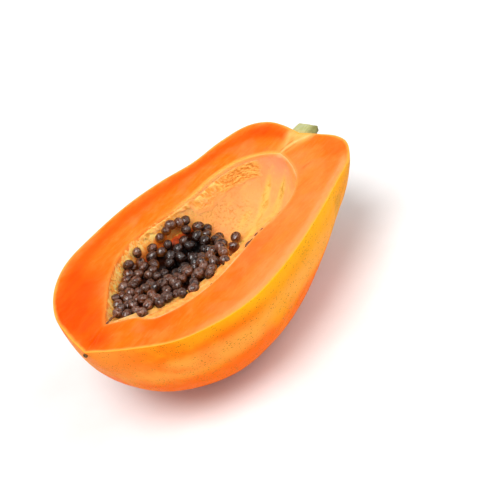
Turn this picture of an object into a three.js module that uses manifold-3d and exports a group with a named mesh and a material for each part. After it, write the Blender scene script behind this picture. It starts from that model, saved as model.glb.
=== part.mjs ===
// Half of a ripe papaya, cut lengthwise through its stem and lying on its back with the cut face up.
// The half fruit is one grown solid: skin, flesh and the open seed cavity. The seeds lie heaped in the
// blossom end of the cavity, two of them have rolled clear, and the cut stub of the stem sits in its pit.
// Fruit frame: +X points to the stem, +Y to the left of the cut face, and the cut face is at z = 0.
import * as THREE from "three";
import { mergeVertices } from "three/addons/utils/BufferGeometryUtils.js";
import Module from "manifold-3d";

const wasm = await Module();
wasm.setup();
const { Manifold, Mesh: SolidMesh } = wasm;

// How the half lies: tilted a little to where its weight balances, and flattened where it touches down.
const restPitch = 3.2; // degrees, stem end down
const restHeight = 71; // mm, from the surface up to the fruit's own axis
const restShift = 8.6; // mm, along the fruit, which puts the flat spot's middle at the origin
const gap = 0.3; // mm, between pieces that touch

// The cut face's outline on each side of the axis, from the stem pit to the blossom tip, as x, y in mm.
const fruitLeft = [
  [100.5, 0], [105.5, 16], [106.2, 30], [98.5, 41.5], [80, 48.5], [58, 52.5], [36, 61.5],
  [10, 68], [-20, 70], [-46, 68.5], [-69, 58], [-88, 40], [-100.5, 17], [-107.5, 0],
];
const fruitRight = [
  [100.5, 0], [102.5, -13], [103.3, -26], [98.5, -37.5], [84, -48.5], [63, -54.5], [38, -61],
  [10, -66.8], [-18, -70], [-43, -69], [-65, -61], [-85, -46], [-99.5, -20], [-107.5, 0],
];
const fruitDepths = [0.85, 0.74, 1.05, 1, 1.05]; // depth of the half over its half width, from the stem
const fruitRib = 0.045; // ribs' height over the radius, at the stem end
const fruitRibFade = 0.25; // share of that height left at the blossom end
const ribPhase = 54; // degrees, the first rib's place below the left edge

// The seed cavity's outline, drawn the same way. The fold in the right wall is near the blossom end.
const cavityLeft = [
  [79.5, 0], [76.5, 10.5], [67, 22], [50, 29], [30, 30.5], [10, 34.5],
  [-12, 40], [-31, 38.5], [-49, 30.5], [-66, 18.5], [-78, 9.5], [-84, 4],
];
const cavityRight = [
  [79.5, 0], [74, -10.5], [63, -24], [47, -33.5], [28, -36.8], [8, -35],
  [-12, -36.5], [-32, -36.5], [-52, -32.5], [-70, -22.5], [-74, -9], [-84, 4],
];
const cavityDepths = [0.9, 0.95, 0.98, 0.95, 0.9];
const cavityRib = 0.03;

// The right wall starts with a shelf beside the seeds: the deep part's own right edge, and the shelf's depth.
const cavityInner = [
  [79.5, 0], [74, -10.5], [63, -24], [47, -33.5], [28, -36.5], [8, -32],
  [-12, -27.5], [-32, -25], [-50, -17], [-65, -7], [-75, -1], [-84, 4],
];
const shelfDepths = [0.15, 0.15, 0.15];

// The stem stub, cut through with the fruit.
const stem = { radius: 7.6, root: 98, end: 109, flare: 1.1, sides: 28, aside: -1 };

// Seeds and the heap that they make. The heap leans to the left and is dished in the middle. Its toe falls
// away towards the stem.
const seed = { halfLength: 3.5, halfWidth: 3, spacing: 5.1, throws: 12000, lift: 3, start: 20 };
const heap = {
  top: -5, // mm, its height on the axis
  lean: 0.1, // fall per mm to the left
  dish: 12, // mm
  dishAt: [-8, 10],
  dishReach: [28, 17],
  toe: 4.5, // mm along x, where it begins to fall
  toeSlant: 0.36,
  fall: 0.1, // per mm
  coreDrop: 3, // mm, the dark bed's surface below the seeds' centres
  widest: 0.97, // share of the cavity's half width that the seeds cover
  clear: 1.6, // mm, the least height of a seed's centre over the wall
};
const looseSeeds = [
  { along: 0.359, across: 0.336, turn: 0.3 },
  { along: 0.392, across: 0.19, turn: -0.9 },
];
const looseClear = 7.5; // mm, from a loose seed's centre to any other

const curveOf = (points) => new THREE.SplineCurve(points.map(([x, y]) => new THREE.Vector2(x, y)));

// A lathe's grid bent to two outlines. Each section is an ellipse from the right outline to the left one.
// Angles run from the left edge, through the underside, round to the right edge and over the top.
function bodyBetween(left, right, depths, ribHeight, rows, sides) {
  const pointAt = surfaceBetween(left, right, depths, ribHeight);
  const blank = Array.from({ length: rows + 1 }, (_, i) => new THREE.Vector2(1, i));
  const geometry = new THREE.LatheGeometry(blank, sides);
  const position = geometry.getAttribute("position");
  for (let k = 0; k < position.count; k++) {
    const along = (k % (rows + 1)) / rows;
    const around = ((Math.floor(k / (rows + 1)) % sides) / sides) * 2 * Math.PI;
    position.setXYZ(k, ...pointAt(along, around));
  }
  return geometry;
}

function surfaceBetween(left, right, depths, ribHeight) {
  const leftCurve = curveOf(left);
  const rightCurve = curveOf(right);
  const depthCurve = curveOf(depths.map((depth) => [depth, 0]));
  return (along, around) => {
    const l = leftCurve.getPoint(along);
    const r = rightCurve.getPoint(along);
    const across = Math.cos(around);
    const middle = (l.y + r.y) / 2;
    const rib = 1 + ribHeight(along) * Math.cos(5 * (around - THREE.MathUtils.degToRad(ribPhase)));
    const reach = ((l.y - r.y) / 2) * rib;
    const x = r.x + ((l.x - r.x) * (1 + across)) / 2;
    return [x, middle + reach * across, -depthCurve.getPoint(along).x * reach * Math.sin(around)];
  };
}

// Ribs are plain near the stem, and fade to nothing at both poles' very ends.
const fruitRibHeight = (along) => {
  const fade = 1 + (fruitRibFade - 1) * THREE.MathUtils.smoothstep(along, 0.1, 0.5);
  return fruitRib * fade * THREE.MathUtils.smoothstep(along, 0, 0.1);
};
const cavityRibHeight = (along) => cavityRib * Math.sin(Math.PI * along);

// A closed geometry as a solid, with its seams merged and the pinched faces at its poles dropped.
function solidOf(geometry) {
  const plain = geometry.clone();
  plain.deleteAttribute("normal");
  plain.deleteAttribute("uv");
  const merged = mergeVertices(plain, 1e-4);
  const all = merged.index.array;
  const kept = [];
  for (let i = 0; i < all.length; i += 3) {
    const [a, b, c] = [all[i], all[i + 1], all[i + 2]];
    if (a !== b && b !== c && c !== a) kept.push(a, b, c);
  }
  const vertProperties = merged.getAttribute("position").array;
  return new Manifold(new SolidMesh({ numProp: 3, vertProperties, triVerts: new Uint32Array(kept) }));
}

function geometryOf(solid) {
  const { numProp, vertProperties, triVerts } = solid.getMesh();
  const count = vertProperties.length / numProp;
  const flat = new Float32Array(count * 3);
  for (let i = 0; i < count; i++) flat.set(vertProperties.subarray(i * numProp, i * numProp + 3), i * 3);
  const geometry = new THREE.BufferGeometry();
  geometry.setAttribute("position", new THREE.BufferAttribute(flat, 3));
  geometry.setIndex(new THREE.BufferAttribute(triVerts, 1));
  return geometry;
}

const largestPiece = (solid) => solid.decompose().sort((a, b) => b.volume() - a.volume())[0];

// The group that lays the fruit on the surface, which is z = 0 outside it.
const fruit = new THREE.Group();
fruit.rotation.y = THREE.MathUtils.degToRad(restPitch);
fruit.position.set(restShift, 0, restHeight);
fruit.updateMatrixWorld(true);

// A block big enough to hold the fruit, with its lowest face at the height given.
const blockSize = 300;
const blockAbove = (height) =>
  new THREE.BoxGeometry(blockSize, blockSize, blockSize).translate(0, 0, height + blockSize / 2);
const openAir = solidOf(blockAbove(0).applyMatrix4(fruit.matrixWorld.clone().invert()));
const otherHalf = solidOf(blockAbove(0));

// One seed: a sphere of few sides, longer one way, turned by three angles.
function seedAt({ centre, angles, size }) {
  const shape = new THREE.SphereGeometry(1, 6, 4);
  shape.scale(seed.halfLength * size, seed.halfWidth * size, seed.halfWidth * size);
  const turned = new THREE.Matrix4().makeRotationFromEuler(new THREE.Euler(...angles));
  return solidOf(shape.applyMatrix4(turned).translate(...centre.toArray()));
}

// A repeatable draw between 0 and 1.
function drawFrom(start) {
  let state = start;
  return () => {
    state = (Math.imul(state, 1664525) + 1013904223) >>> 0;
    return state / 4294967296;
  };
}

function heapHeight(x, y) {
  const dx = (x - heap.dishAt[0]) / heap.dishReach[0];
  const dy = (y - heap.dishAt[1]) / heap.dishReach[1];
  const past = Math.max(0, x - heap.toeSlant * y - heap.toe);
  return heap.top - heap.lean * y - heap.dish * Math.exp(-dx * dx - dy * dy) - heap.fall * past * past;
}

// The point of the cavity's wall at a share along it and a place across it, from -1, right, to 1, left.
const cavityPointAt = surfaceBetween(cavityLeft, cavityInner, cavityDepths, cavityRibHeight);
const wallPoint = (along, across) => cavityPointAt(along, Math.acos(across));

// A loose seed lies on the wall, on its side.
function loosePlace({ along, across, turn }) {
  const wall = new THREE.Vector3(...wallPoint(along, across));
  const inward = new THREE.Vector3(0, -wall.y, -wall.z).normalize();
  const centre = wall.clone().addScaledVector(inward, seed.halfWidth + 2 * gap);
  return { centre, angles: [Math.atan2(wall.y, -wall.z), 0, turn], size: 1 };
}

// Seeds are thrown one by one over the heap. One too close to an earlier one, or in the wall, is dropped.
function seedPlaces() {
  const loose = looseSeeds.map(loosePlace);
  const draw = drawFrom(seed.start);
  const placed = [];
  for (let i = 0; i < seed.throws; i++) {
    const [along, across] = [draw(), (2 * draw() - 1) * heap.widest];
    const [lift, size] = [(draw() - 0.5) * seed.lift, 0.9 + 0.2 * draw()];
    const angles = [draw() * 2 * Math.PI, draw() * 2 * Math.PI, 0];
    const [x, y, wall] = wallPoint(along, across);
    const centre = new THREE.Vector3(x, y, heapHeight(x, y) + lift);
    const free =
      placed.every((other) => other.centre.distanceTo(centre) > seed.spacing) &&
      loose.every((other) => other.centre.distanceTo(centre) > looseClear);
    if (free && centre.z > wall + heap.clear) placed.push({ centre, angles, size });
  }
  return placed;
}

const makeCavity = (rows, sides) =>
  solidOf(bodyBetween(cavityLeft, cavityInner, cavityDepths, cavityRibHeight, rows, sides));

const makeShelf = () =>
  solidOf(bodyBetween(cavityLeft, cavityRight, shelfDepths, cavityRibHeight, 32, 20));

function makeHalf() {
  const whole = solidOf(bodyBetween(fruitLeft, fruitRight, fruitDepths, fruitRibHeight, 46, 60));
  const cavity = makeCavity(32, 36).add(makeShelf());
  const socket = solidOf(stemShape(gap));
  return whole.subtract(otherHalf).subtract(cavity).subtract(socket).intersect(openAir);
}

// The stub's outline turned about X: widest at its root. Grown by a clearance, it is the socket.
function stemShape(clearance) {
  const radius = stem.radius + clearance;
  const outline = [
    [0, stem.root - clearance],
    [radius * stem.flare, stem.root - clearance],
    [radius, (stem.root + stem.end) / 2],
    [radius * 0.97, stem.end],
    [0, stem.end],
  ];
  const points = outline.map(([r, x]) => new THREE.Vector2(r, x));
  return new THREE.LatheGeometry(points, stem.sides).rotateZ(-Math.PI / 2).translate(0, stem.aside, 0);
}

const makeStem = () => solidOf(stemShape(0)).subtract(otherHalf);

// The seeds stand half out of the dark bed that holds them, and both keep clear of the cavity's wall.
function makeSeedHeap() {
  const room = makeCavity(22, 22).scale([0.98, 0.98, 0.98]);
  const floor = -60;
  const block = new THREE.BoxGeometry(180, 100, 1, 18, 12, 1);
  const position = block.getAttribute("position");
  for (let k = 0; k < position.count; k++) {
    const [x, y] = [position.getX(k), position.getY(k)];
    position.setZ(k, position.getZ(k) > 0 ? heapHeight(x, y) - heap.coreDrop : floor);
  }
  const bed = solidOf(block).intersect(room);
  return largestPiece(Manifold.union([bed, ...seedPlaces().map(seedAt)]).intersect(room));
}

const named = (name, solid, material) => {
  const mesh = new THREE.Mesh(geometryOf(solid), new THREE.MeshStandardMaterial(material));
  mesh.name = name;
  return mesh;
};

const flesh = { color: 0xff7a24, roughness: 0.42, metalness: 0 };
const seedCoat = { color: 0x3a1f12, roughness: 0.28, metalness: 0 };
const stemBark = { color: 0xa9b070, roughness: 0.65, metalness: 0 };

fruit.add(named("papaya_half", makeHalf(), flesh));
fruit.add(named("seed_heap", makeSeedHeap(), seedCoat));
fruit.add(named("stem_stub", makeStem(), stemBark));
looseSeeds.forEach((place, i) =>
  fruit.add(named(`loose_seed_${i + 1}`, seedAt(loosePlace(place)), seedCoat)),
);

export default new THREE.Group().add(fruit);
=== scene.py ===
# A halved papaya lying on its back: peel, cut flesh, seed cavity, seeds and the cut stem.
# Shapes are worked out in the fruit's own frame, in mm. +X points to the stem, +Y to the left
# of the cut face, and the cut face is at z = 0. toRow() then lays them in the frame, in metres.
import math

import bpy
import numpy as np
from mathutils import Matrix, Vector


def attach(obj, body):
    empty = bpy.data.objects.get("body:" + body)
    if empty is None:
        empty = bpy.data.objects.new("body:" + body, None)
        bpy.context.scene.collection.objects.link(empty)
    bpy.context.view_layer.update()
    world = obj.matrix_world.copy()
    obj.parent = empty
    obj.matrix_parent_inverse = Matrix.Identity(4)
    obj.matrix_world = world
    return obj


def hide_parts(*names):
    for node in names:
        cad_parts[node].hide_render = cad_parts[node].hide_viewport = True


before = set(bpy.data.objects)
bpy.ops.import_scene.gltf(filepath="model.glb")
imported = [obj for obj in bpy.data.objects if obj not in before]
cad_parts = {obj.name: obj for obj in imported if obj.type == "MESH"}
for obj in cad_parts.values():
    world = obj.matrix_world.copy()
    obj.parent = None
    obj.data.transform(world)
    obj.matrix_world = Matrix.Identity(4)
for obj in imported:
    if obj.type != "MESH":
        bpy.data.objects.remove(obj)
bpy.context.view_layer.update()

lie = {"pitch": 3.2, "height": 71.0, "shift": 8.6}  # degrees, mm up, mm along

fruit = {
    "left": [
        [100.5, 0], [105.5, 16], [106.2, 30], [98.5, 41.5], [80, 48.5], [58, 52.5], [36, 61.5],
        [10, 68], [-20, 70], [-46, 68.5], [-69, 58], [-88, 40], [-100.5, 17], [-107.5, 0],
    ],
    "right": [
        [100.5, 0], [102.5, -13], [103.3, -26], [98.5, -37.5], [84, -48.5], [63, -54.5], [38, -61],
        [10, -66.8], [-18, -70], [-43, -69], [-65, -61], [-85, -46], [-99.5, -20], [-107.5, 0],
    ],
    "depths": [0.85, 0.74, 1.05, 1, 1.05],  # depth over half width, from the stem
    "rib": 0.045,  # a rib's height over the half width, near the stem
    "ribStart": (0, 0.1),  # shares along the fruit between which it rises from nothing
    "ribFade": 0.25,  # what is left of it from the middle on
    "ribFadeAlong": (0.1, 0.5),
    "ribPhase": 54,  # degrees
}

cavity = {
    "left": [
        [79.5, 0], [76.5, 10.5], [67, 22], [50, 29], [30, 30.5], [10, 34.5],
        [-12, 40], [-31, 38.5], [-49, 30.5], [-66, 18.5], [-78, 9.5], [-84, 4],
    ],
    "right": [
        [79.5, 0], [74, -10.5], [63, -24], [47, -33.5], [28, -36.8], [8, -35],
        [-12, -36.5], [-32, -36.5], [-52, -32.5], [-70, -22.5], [-74, -9], [-84, 4],
    ],
    "inner": [  # the shelf's inner edge
        [79.5, 0], [74, -10.5], [63, -24], [47, -33.5], [28, -36.5], [8, -32],
        [-12, -27.5], [-32, -25], [-50, -17], [-65, -7], [-75, -1], [-84, 4],
    ],
    "depths": [0.9, 0.95, 0.98, 0.95, 0.9],
    "shelfDepth": 0.15,
    "blendPower": 6,  # of the sum that joins the shelf to the deep wall
    "rib": 0.03,
}


def toRow(points):
    # turned about Y by the pitch, then moved along and up, then mm to metres
    turn = math.radians(lie["pitch"])
    x, y, z = points[..., 0], points[..., 1], points[..., 2]
    along = x * math.cos(turn) + z * math.sin(turn) + lie["shift"]
    up = z * math.cos(turn) - x * math.sin(turn) + lie["height"]
    return np.stack([along, y, up], -1) / 1000


def ease(value, low, high):
    # 0 below low, 1 above high, and the smooth step 3t^2 - 2t^3 between them
    t = np.clip((value - low) / (high - low), 0, 1)
    return t * t * (3 - 2 * t)


def unit(vectors):
    # each vector over its own length
    return vectors / np.maximum(np.linalg.norm(vectors, axis=-1, keepdims=True), 1e-9)


def withHeight(flat, height=0.0):
    # places in the cut plane, given a height
    return np.concatenate([flat, np.broadcast_to(height, flat.shape[:-1])[..., None]], -1)


def turnedTo(vectors, places, target):
    # each vector, turned round if it points away from the target
    return vectors * np.sign((vectors * (np.array(target) - places)).sum(-1, keepdims=True))


def curveAt(points, t):
    # a uniform Catmull-Rom curve through the points, t from 0 to 1
    p = np.asarray(points, float)
    last = len(p) - 1
    place = last * np.asarray(t, float)
    i = np.clip(np.floor(place).astype(int), 0, last - 1)
    w = (place - i)[..., None]
    before, here, there, after = (p[np.clip(i + k, 0, last)] for k in (-1, 0, 1, 2))
    outgoing, incoming = (there - before) / 2, (after - here) / 2
    cubic = (2 * here - 2 * there + outgoing + incoming) * w**3
    square = (-3 * here + 3 * there - 2 * outgoing - incoming) * w**2
    return cubic + square + outgoing * w + here


def levelAt(levels, t):
    # the same curve through single numbers
    return curveAt([[level, 0] for level in levels], t)[..., 0]


def grain(points, size, seed):
    # value noise from -1 to 1: random numbers on a lattice, size mm apart, eased between
    lattice = np.random.default_rng(seed).uniform(-1, 1, (32, 32, 32))
    place = points / np.asarray(size, float)
    corner = np.floor(place).astype(int)
    share = place - corner
    share = share * share * (3 - 2 * share)
    total = 0
    for k in range(8):
        step = np.array([k & 1, k >> 1 & 1, k >> 2 & 1])
        j = (corner + step) % 32
        weight = np.where(step, share, 1 - share).prod(-1)
        total = total + lattice[j[..., 0], j[..., 1], j[..., 2]] * weight
    return total


def grains(points, rows, start=0.0):
    # a start and a sum of noises. Each row is an amount, a size and a seed
    total = start
    for amount, size, seed in rows:
        total = total + amount * grain(points, size, seed)
    return total


def bells(points, rows):
    # a sum of soft patches. Each row is a centre, two reaches and an amount, and a patch fades as
    # the bell curve of the distance over the reach
    x, y = points[..., 0], points[..., 1]
    total = 0
    for cx, cy, rx, ry, amount in rows:
        total = total + amount * np.exp(-(((x - cx) / rx) ** 2) - ((y - cy) / ry) ** 2)
    return total


def strokes(points, rows):
    # soft lines. Each row is a line's two ends and its half width
    x, y = points[..., 0], points[..., 1]
    total = 0
    for ax, ay, bx, by, width in rows:
        dx, dy = bx - ax, by - ay
        share = np.clip(((x - ax) * dx + (y - ay) * dy) / (dx**2 + dy**2), 0, 1)
        aside = (x - ax - share * dx) ** 2 + (y - ay - share * dy) ** 2
        total = total + np.exp(-(aside / width**2))
    return np.clip(total, 0, 1)


def ribs(height, around):
    # five waves round the fruit
    return 1 + height * np.cos(5 * (around - math.radians(fruit["ribPhase"])))


def halfEllipse(left, right, depth, around, rib):
    # across the fruit from its left edge, round underneath, to its right edge
    across = np.cos(around)
    reach = (left[..., 1] - right[..., 1]) / 2 * rib
    x = right[..., 0] + (left[..., 0] - right[..., 0]) * (1 + across) / 2
    y = (left[..., 1] + right[..., 1]) / 2 + reach * across
    return np.stack([x, y, -depth * reach * np.sin(around)], -1)


def skinPoints(along, around):
    # the peel: half an ellipse at each share along the fruit, with ribs that are highest near
    # the stem
    fade = 1 + (fruit["ribFade"] - 1) * ease(along, *fruit["ribFadeAlong"])
    rib = ribs(fruit["rib"] * fade * ease(along, *fruit["ribStart"]), around)
    left, right = curveAt(fruit["left"], along), curveAt(fruit["right"], along)
    return halfEllipse(left, right, levelAt(fruit["depths"], along), around, rib)


def wallPoints(along, around):
    # the deep wall: half an ellipse between the cavity's left edge and the shelf's inner edge
    rib = ribs(cavity["rib"] * np.sin(math.pi * along), around)
    left, right = curveAt(cavity["left"], along), curveAt(cavity["inner"], along)
    return halfEllipse(left, right, levelAt(cavity["depths"], along), around, rib)


def shelfDrop(left, right, y):
    # the shelf's depth: a flat half ellipse between the cavity's edges
    middle, wide = (left[..., 1] + right[..., 1]) / 2, (left[..., 1] - right[..., 1]) / 2
    across = np.clip((y - middle) / np.maximum(wide, 1e-6), -1, 1)
    return cavity["shelfDepth"] * wide * np.sqrt(1 - across**2)


def liningPoints(along, place):
    # place runs from -1 at the right edge, over the shelf to 0, and over the deep wall to 1 at
    # the left edge. The depth is the shelf's and the deep wall's, summed as powers
    left, right, inner = (curveAt(cavity[edge], along) for edge in ("left", "right", "inner"))
    onShelf = np.clip(place + 1, 0, 1)[..., None]
    deep = wallPoints(along, math.pi * (1 - np.clip(place, 0, 1)))
    flat = np.where((place < 0)[..., None], right + (inner - right) * onShelf, deep[..., :2])
    shelf = shelfDrop(left, right, flat[..., 1])
    wall = np.where(place > 0, -deep[..., 2], 0)
    power = cavity["blendPower"]
    return withHeight(flat, -((shelf**power + wall**power) ** (1 / power)))


def roundOver(inset, depth, radius):
    # a square corner pushed back along the line to the fillet's centre, onto its quarter circle
    u, v = np.clip(radius - inset, 0, None), np.clip(radius - depth, 0, None)
    near = (u > 0) & (v > 0)
    pull = np.where(near, radius / np.maximum(np.hypot(u, v), 1e-9), 1)
    return np.where(near, radius - u * pull, inset), np.where(near, radius - v * pull, depth)


def gridNormals(points):
    # the cross product of the grid's two slopes, turned to unit length
    return unit(np.cross(np.gradient(points, axis=0), np.gradient(points, axis=1)))


def gapTo(points, line):
    # distance in the cut plane from each point to the nearest place on a line of points
    flat = points[..., :2].reshape(-1, 2)
    start, step = line[:-1], np.diff(line, axis=0)
    length = np.maximum((step**2).sum(-1), 1e-12)
    nearest = np.full(len(flat), 1e9)
    for s, d, n in zip(start, step, length):
        share = np.clip(((flat - s) @ d) / n, 0, 1)
        nearest = np.minimum(nearest, np.linalg.norm(flat - s - share[:, None] * d, axis=1))
    return nearest.reshape(points.shape[:-1])


def gridQuads(rows, columns, wrap=False):
    # the corners of every cell of a grid. A wrapped one joins its last column to its first
    across = columns if wrap else columns - 1
    row, column = np.meshgrid(np.arange(rows - 1), np.arange(across), indexing="ij")
    right = (column + 1) % columns
    corners = ((row, column), (row, right), (row + 1, right), (row + 1, column))
    return np.stack([r * columns + c for r, c in corners], -1).reshape(-1, 4)


def repeated(quads, size, count):
    # the same quads for count grids, one after another, of size points each
    return (quads[None] + size * np.arange(count)[:, None, None]).reshape(-1, 4)


def addPiece(name, mesh):
    # the mesh as an object in the scene
    piece = bpy.data.objects.new(name, mesh)
    bpy.context.scene.collection.objects.link(piece)
    return piece


def buildMesh(name, points, quads, materials, slots=None, values=None):
    # welds equal points, turns pinched quads into triangles, drops flat ones, and faces outwards
    flat = points.reshape(-1, 3)
    microns = np.round(flat * 1e6).astype(np.int64)
    first, index = np.unique(microns, axis=0, return_index=True, return_inverse=True)[1:]
    corners = index.reshape(-1)[quads]
    slots = np.zeros(len(quads), int) if slots is None else slots
    same = corners == np.roll(corners, -1, axis=1)
    crossed = (corners[:, 0] == corners[:, 2]) | (corners[:, 1] == corners[:, 3])
    whole = ~same.any(1) & ~crossed
    pinched = (same.sum(1) == 1) & ~crossed
    triangles = corners[pinched][~same[pinched]].reshape(-1, 3)
    place = flat[first]
    a, b, c, d = (place[corners[whole][:, k]] for k in range(4))
    volume = (np.cross(b, c) * a).sum() + (np.cross(c, d) * a).sum()
    a, b, c = (place[triangles[:, k]] for k in range(3))
    volume += (np.cross(b, c) * a).sum()
    turn = 1 if volume > 0 else -1
    mesh = bpy.data.meshes.new(name)
    faces = corners[whole][:, ::turn].tolist() + triangles[:, ::turn].tolist()
    mesh.from_pydata(place.tolist(), [], faces)
    mesh.shade_smooth()
    for material in materials:
        mesh.materials.append(material)
    faceSlots = np.concatenate([slots[whole], slots[pinched]]).astype(np.int32)
    mesh.polygons.foreach_set("material_index", faceSlots)
    for key, value in (values or {}).items():
        layer = mesh.attributes.new(key, "FLOAT", "POINT")
        value = np.broadcast_to(value, points.shape[:-1]).reshape(-1)[first]
        layer.data.foreach_set("value", value.astype(np.float32))
    mesh.update()
    return addPiece(name, mesh)


def tone(code, strength=0.8):
    # a hex colour as linear red, green, blue and alpha, held below the floor's white
    share = [int(code[k:k + 2], 16) / 255 for k in (0, 2, 4)]
    linear = [c / 12.92 if c <= 0.04045 else ((c + 0.055) / 1.055) ** 2.4 for c in share]
    return [strength * c for c in linear] + [1]


def tones(strength, **codes):
    # named tones of the same strength
    return {key: tone(code, strength) for key, code in codes.items()}


def startMaterial(name, sockets):
    # gives make, which adds a node, and finish, which plugs the last ones into the shader
    material = bpy.data.materials.new(name)
    material.use_nodes = True
    tree = material.node_tree
    shader = tree.nodes["Principled BSDF"]
    for key, value in sockets.items():
        shader.inputs[key].default_value = value

    def make(kind, inputs=None, out=0, **settings):
        node = tree.nodes.new("ShaderNode" + kind)
        for key, value in settings.items():
            setattr(node, key, value)
        for key, value in (inputs or {}).items():
            if isinstance(value, bpy.types.NodeSocket):
                tree.links.new(value, node.inputs[key])
            else:
                node.inputs[key].default_value = value
        return node.outputs[out]

    def finish(colour, roughness, height, distance, coat=1.0):
        # the height's distance is in metres, and the coat takes its own share of it
        bump = make("Bump", {"Height": height, "Distance": distance, "Strength": 1})
        skin = make("Bump", {"Height": height, "Distance": distance * coat, "Strength": 1})
        ends = {"Base Color": colour, "Roughness": roughness, "Normal": bump, "Coat Normal": skin}
        for key, value in ends.items():
            tree.links.new(value, shader.inputs[key])
        return material

    return make, finish


def mapped(make, stretch=(1, 1, 1)):
    # object coordinates, squeezed so that a pattern is drawn out along an axis
    place = make("TexCoord", out=3)
    return make("Mapping", {"Vector": place, "Scale": stretch})


def noise(make, vector, size, detail=3, rough=0.55, warp=0):
    # size is the pattern's size in mm
    inputs = {"Scale": 1000 / size, "Detail": detail, "Roughness": rough, "Distortion": warp}
    return make("TexNoise", {"Vector": vector, **inputs})


def rise(make, value, low, high, start=0, end=1):
    # a smooth step from start to end as the value goes from low to high
    inputs = {"From Min": low, "From Max": high, "To Min": start, "To Max": end}
    return make("MapRange", {"Value": value, **inputs}, interpolation_type="SMOOTHSTEP")


def plus(make, first, *others):
    # two or more values added up
    for other in others:
        first = make("Math", {0: first, 1: other}, operation="ADD")
    return first


def times(make, first, *others):
    # two or more values multiplied together
    for other in others:
        first = make("Math", {0: first, 1: other}, operation="MULTIPLY")
    return first


def blend(make, share, low, high):
    # the low colour where the share is 0 and the high one where it is 1
    return make("Mix", {0: share, 6: low, 7: high}, out=2, data_type="RGBA")


def layers(make, colour, shades, **shares):
    # lays each named shade over the ones before it, by its share
    for key, share in shares.items():
        colour = blend(make, share, colour, shades[key])
    return colour


def field(make, name):
    # one of the values that the mesh holds at its points
    return make("Attribute", out=2, attribute_name=name)


view = {
    "place": (-0.56822, -0.72946, 0.71524),
    "right": (0.557274, -0.764771, -0.323373),
    "up": (0.648564, 0.157737, 0.744637),
    "back": (-0.518469, -0.624695, 0.583906),
    "lens": 142.42, "sensor": 36,  # mm
    "nearest": 0.01,
}

camera = bpy.data.objects.new("studioCamera", bpy.data.cameras.new("studioCamera"))
bpy.context.scene.collection.objects.link(camera)
camera.data.lens = view["lens"]
camera.data.sensor_width = view["sensor"]
camera.data.clip_start = view["nearest"]
columns = [Vector(view[key]) for key in ("right", "up", "back")]
camera.matrix_world = Matrix.Translation(view["place"]) @ Matrix(columns).transposed().to_4x4()
bpy.context.scene.camera = camera
print("camera placed")


half = {
    "rows": 272,
    "skinSides": 128,
    "faceSides": 34,
    "shelfSides": 16,
    "wallSides": 98,
    "edgePoints": 160,  # on the lines that distances on the cut face are taken from
    "rimRadius": 0.55,  # mm
    "coreRadius": 1.1,  # mm
    # noises: how high in mm, how far apart in mm and a seed
    "swell": [(0.28, (26, 15, 15), 3), (0.07, (5, 3, 3), 4)],
    "cutWaves": [(0.22, (30, 8, 8), 21), (0.05, (9, 1.4, 1.4), 22)],
    "liningWaves": [(0.55, (16, 9, 9), 11), (0.10, (7, 2.6, 2.6), 12), (0.05, (1.6, 1.2, 1.2), 13)],
    "shelfLumps": [(0.5, 3.4, 17), (0.25, 1.3, 18)],
    "ridgeHeight": 0.4,  # mm
    "ridgeWaves": [(0.3, (4, 1.6, 1.6), 14), (0.2, (1.5, 0.9, 0.9), 24)],
    "ridges": [  # near the stem: centre, two reaches and share of the height
        (66, 7.3, 7, 2.4, 1), (67, -4, 6, 2.4, 1), (57, 5, 6, 2.6, 0.7), (52, -5, 12, 4, 0.6),
        (46, 13, 11, 3, 0.5), (44, 2, 14, 6, 0.45), (30, 3, 14, 7, 0.45), (28, 27, 14, 5, 0.4),
    ],
    "crease": {"at": (-84, 4), "slant": 0.17, "width": 0.8, "deep": 0.3, "ends": (-92, -82)},
    "faceBunch": 0.8, "wallBunch": 0.45,  # how much closer together points are near an edge
    "peelBunch": (0.45, 0.55),  # shares of even steps and of steps that are smaller at both ends
    "lumpyFrom": (-0.2, 0.1),  # the place across the lining where the shelf's lumps end
    # where waves rise from nothing: mm under the cut, and shares along from both ends
    "liningQuiet": {"below": (0.3, 3), "start": (0, 0.04), "end": (0.95, 1)},
    "peelQuiet": {"below": (0.4, 6), "start": (0, 0.03), "end": (0.97, 1)},
    "faceQuiet": (0.3, 3),  # mm from its edges
}
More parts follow.
